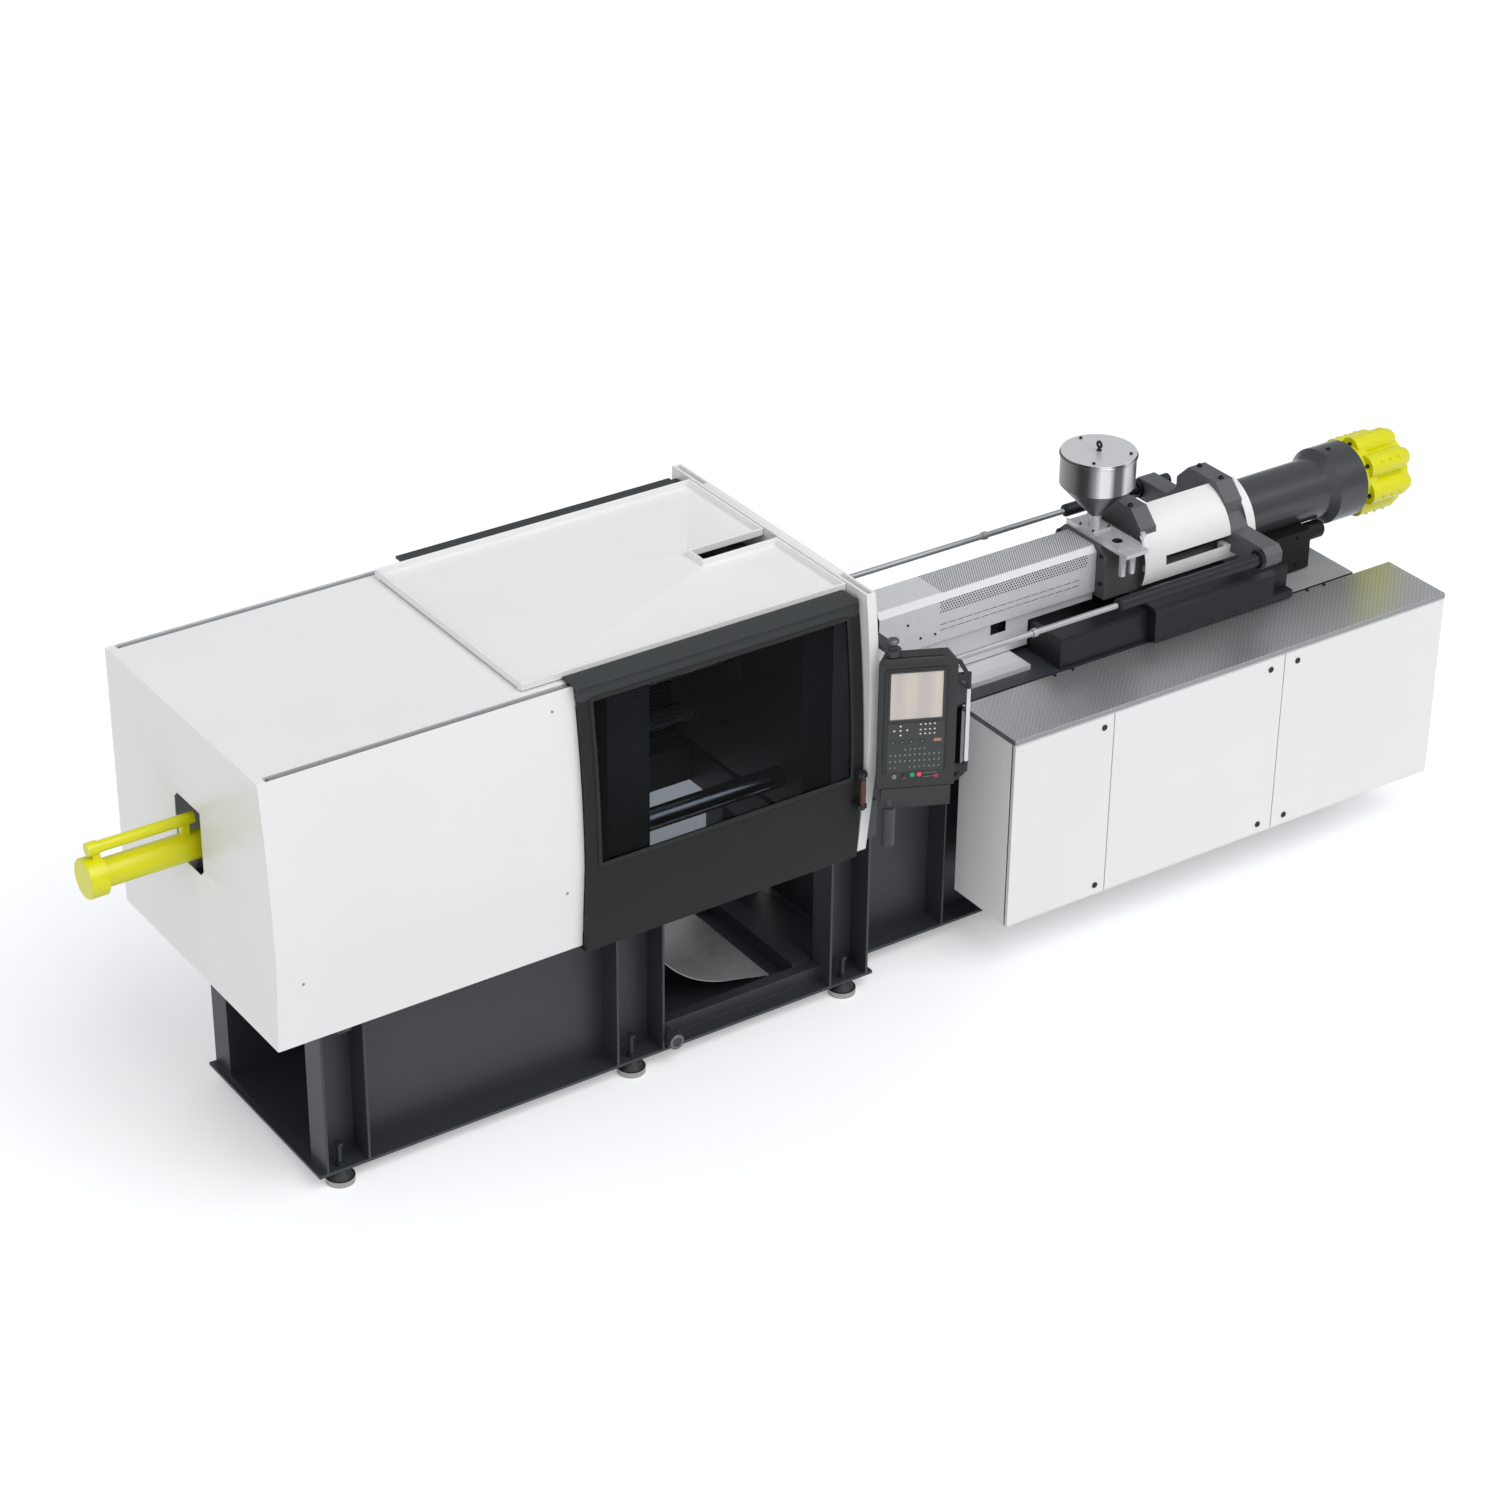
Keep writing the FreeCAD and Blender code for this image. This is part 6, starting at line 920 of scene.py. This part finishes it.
def keys(name, across, height, size, material, lift=1.5, out=1.6, slot="black_plastic"):
    """A set of equal keys or printed marks, each a small raised block."""
    places = on_panel(across, height, out - 0.2).reshape(-1, 3)
    piece(name, [slab(places, PANEL_AXES, (*size, lift), 0.35, min(size) * 0.25, 2)], material,
          "control_panel", slot)


def panel_details():
    """The panel's inner frame, its screen's frame, its keypad and its hood."""
    middle = Extent("panel_screen").middle[2]
    piece("panel_frame", [rim(on_panel(165, 1565), PANEL_AXES, (134, 250), 10, (
        (0, -0.5), (0, 3), (1.5, 4.5), (6, 4.5), (8, 3), (8, -0.5)))], panel_plastic,
          "control_panel", "dark_paint")
    piece("panel_screen_frame", [rim(on_panel(164, middle), PANEL_AXES, (115, 114), 3, (
        (0, -0.5), (0, 2), (1, 3), (7, 3), (8.5, 2), (8.5, -0.5)))], face_plastic,
          "control_panel", "dark_paint")
    piece("panel_keypad", [slab(on_panel(165, 1428, -0.3), PANEL_AXES, (250, 258, 1.8), 0.5, 6)],
          face_plastic, "control_panel", "dark_paint")
    piece("panel_hood", [slab(on_panel(143, 1866, -2), PANEL_AXES, (270, 26, 16), 3, 6),
                         slab(on_panel(171, 1187, -16), (panel_across, Z + 0.16 * panel_out,
                                                         panel_out - 0.16 * Z),
                              (304, 92, 8), 2, 4)],
          panel_plastic, "control_panel", "dark_paint")


def panel_keys():
    """The keypad's keys, and the marks printed on it and beside it."""
    keys("panel_arrow_keys", [97, 97, 69, 126, 97], [1543, 1498, 1521, 1522, 1521], (10, 7),
         mark_white)
    keys("panel_number_keys", [185, 206, 226, 247], [[1547], [1521], [1500]], (8, 7), mark_white)
    dark = [64, 105, 146, 195]
    keys("panel_dark_keys", dark, 1465, (22, 15), key_plastic, 2.0)
    keys("panel_dark_key_marks", dark, 1465, (9, 5), mark_grey, 0.8, 3.2)
    keys("panel_salmon_key", 261, 1466, (36, 15), key_salmon, 2.0, slot="red_plastic")
    columns = 56 + 21.4 * np.arange(11)
    keys("panel_letter_keys", columns, [[1399], [1369]], (7, 9), mark_grey)
    keys("panel_letter_keys_top", columns[3:8], 1427, (7, 8), mark_grey)
    keys("panel_letter_keys_low", columns[[0, 1, 4, 5, 6, 7, 8, 9, 10]], 1338, (7, 7), mark_grey)
    keys("panel_red_marks", [262, 120, 262], [1291, 1284, 1279], (20, 6), mark_red, 1.0,
         slot="red_plastic")
    keys("panel_line_marks", [229, 236], [1303, 1285], (66, 2.4), mark_grey, 0.8)


def panel_fittings():
    """The handle's ends, the knob, the key switch and the buttons' rings."""
    top = on_panel([334, 352, 377, 387, 388.5], [1838, 1832, 1786, 1752, 1722], -12)
    low = on_panel([334, 352, 377, 387, 388.5], [1252, 1262, 1284, 1302, 1330], -12)
    piece("panel_handle_ends", [tube(top, 13, panel_out, 4), tube(low, 13, panel_out, 4)],
          black_plastic, "control_panel", "black_plastic")
    knob = [(0, 0), (0, 9), (6, 9), (8, 7), (8, 0)]
    piece("panel_knob", [turned(on_panel(118, 1298, 1), panel_out, knob, 20)], key_plastic,
          "control_panel", "black_plastic")
    switch = [(0, 0), (0, 11), (4, 11), (5, 9), (5, 5), (10, 4), (10, 0)]
    piece("panel_key_switch", [turned(on_panel(74, 1294, 1), panel_out, switch, 20)],
          mark_grey, "control_panel", "ground_steel")
    for name in ("start_button", "stop_button"):
        button = Extent(name)
        across = np.dot(button.middle - PANEL_POST, panel_across) + PANEL_LEFT
        ring = [(-0.5, 12.2), (-0.5, 17), (3, 17), (4, 15.5), (4, 13), (-0.5, 12.2)]
        piece(name + "_ring", [turned(on_panel(across, button.middle[2]), panel_out, ring, 28)],
              key_plastic, "control_panel", "black_plastic")


cover_details()
window_gasket()
gate_details()
clamp_details()
carriage_details()
motor_details()
traverse_details()
cover_screws()
cover_piercings()
hopper_details()
cabinet_details()
panel_details()
panel_keys()
panel_fittings()


# ---------------------------------------------------------------- floor, light and camera

def floor_material():
    """The floor's paint: pale and nearly matt, and lifted to the photograph's white where the
    camera sees it, straight or in a glossy surface."""
    finish = Finish("floor_paint")
    speck = finish.noise(3.0)
    finish.surface(Base_Color=finish.blend(speck, rgb(236, 237, 240), rgb(238, 239, 241)),
                   Roughness=0.35, Specular_IOR_Level=0.25)
    path = finish.add("ShaderNodeLightPath")
    glow = finish.add("ShaderNodeEmission", Color=(1.0, 1.0, 1.0, 1.0))
    seen = finish.num("MAXIMUM", path.outputs["Is Camera Ray"], path.outputs["Is Glossy Ray"])
    finish.join(glow.inputs["Strength"], finish.num("MULTIPLY", seen, FLOOR_LIFT))
    both = finish.add("ShaderNodeAddShader")
    finish.tree.links.new(finish.shader.outputs[0], both.inputs[0])
    finish.tree.links.new(glow.outputs[0], both.inputs[1])
    output = finish.tree.nodes["Material Output"]
    finish.tree.links.new(both.outputs[0], output.inputs["Surface"])
    return finish.material


def floor():
    """A wide flat floor under the machine's feet."""
    level = cad_box[0][2]
    half = FLOOR_SIZE / 2
    mesh = bpy.data.meshes.new("floor")
    mesh.from_pydata([(-half, -half, level), (half, -half, level), (half, half, level),
                      (-half, half, level)], [], [(0, 1, 2, 3)])
    piece = bpy.data.objects.new("floor", mesh)
    bpy.context.scene.collection.objects.link(piece)
    mesh.materials.append(floor_material())


def lamp(name, back, spread, strength):
    """A wide soft light from far away, as even over the floor as over the machine."""
    light = bpy.data.lights.new(name, "SUN")
    light.angle = math.radians(spread)
    light.energy = strength
    thing = bpy.data.objects.new(name, light)
    bpy.context.scene.collection.objects.link(thing)
    thing.matrix_world = looking(back, (0.0, 0.0, 8.0))


def looking(back, place):
    """The matrix of a lamp or camera at a place, whose back is turned to a direction."""
    back = np.array(back, float) / np.linalg.norm(back)
    right = np.cross([0, 0, 1], back)
    right = right / np.linalg.norm(right)
    up = np.cross(back, right)
    rows = np.column_stack([right, up, back, place])
    return Matrix([*rows.tolist(), [0, 0, 0, 1]])


def world_light():
    """An even pale sky that lights the machine, and plain white where the camera sees it."""
    world = bpy.data.worlds.new("studio")
    bpy.context.scene.world = world
    world.use_nodes = True
    tree = world.node_tree
    sky = tree.nodes["Background"]
    sky.inputs["Color"].default_value = rgb(243, 244, 247)
    sky.inputs["Strength"].default_value = SKY_STRENGTH
    backdrop = tree.nodes.new("ShaderNodeBackground")
    backdrop.inputs["Color"].default_value = (1, 1, 1, 1)
    path = tree.nodes.new("ShaderNodeLightPath")
    mix = tree.nodes.new("ShaderNodeMixShader")
    link = tree.links.new
    link(path.outputs["Is Camera Ray"], mix.inputs[0])
    link(sky.outputs[0], mix.inputs[1])
    link(backdrop.outputs[0], mix.inputs[2])
    link(mix.outputs[0], tree.nodes["World Output"].inputs["Surface"])


def camera():
    """The photograph's view: a long lens, high up off the machine's front left corner."""
    lens = bpy.data.cameras.new("camera")
    lens.sensor_width = 36.0
    lens.lens = CAMERA_LENS
    lens.clip_end = 200.0
    thing = bpy.data.objects.new("camera", lens)
    bpy.context.scene.collection.objects.link(thing)
    place = metres(CAMERA_PLACE)
    turn = Euler([math.radians(angle) for angle in CAMERA_TURN])
    thing.matrix_world = Matrix.Translation(place.tolist()) @ turn.to_matrix().to_4x4()
    bpy.context.scene.camera = thing


floor()
world_light()
for settings in LAMPS:
    lamp(*settings)
camera()
bpy.context.scene.view_settings.view_transform = "Standard"
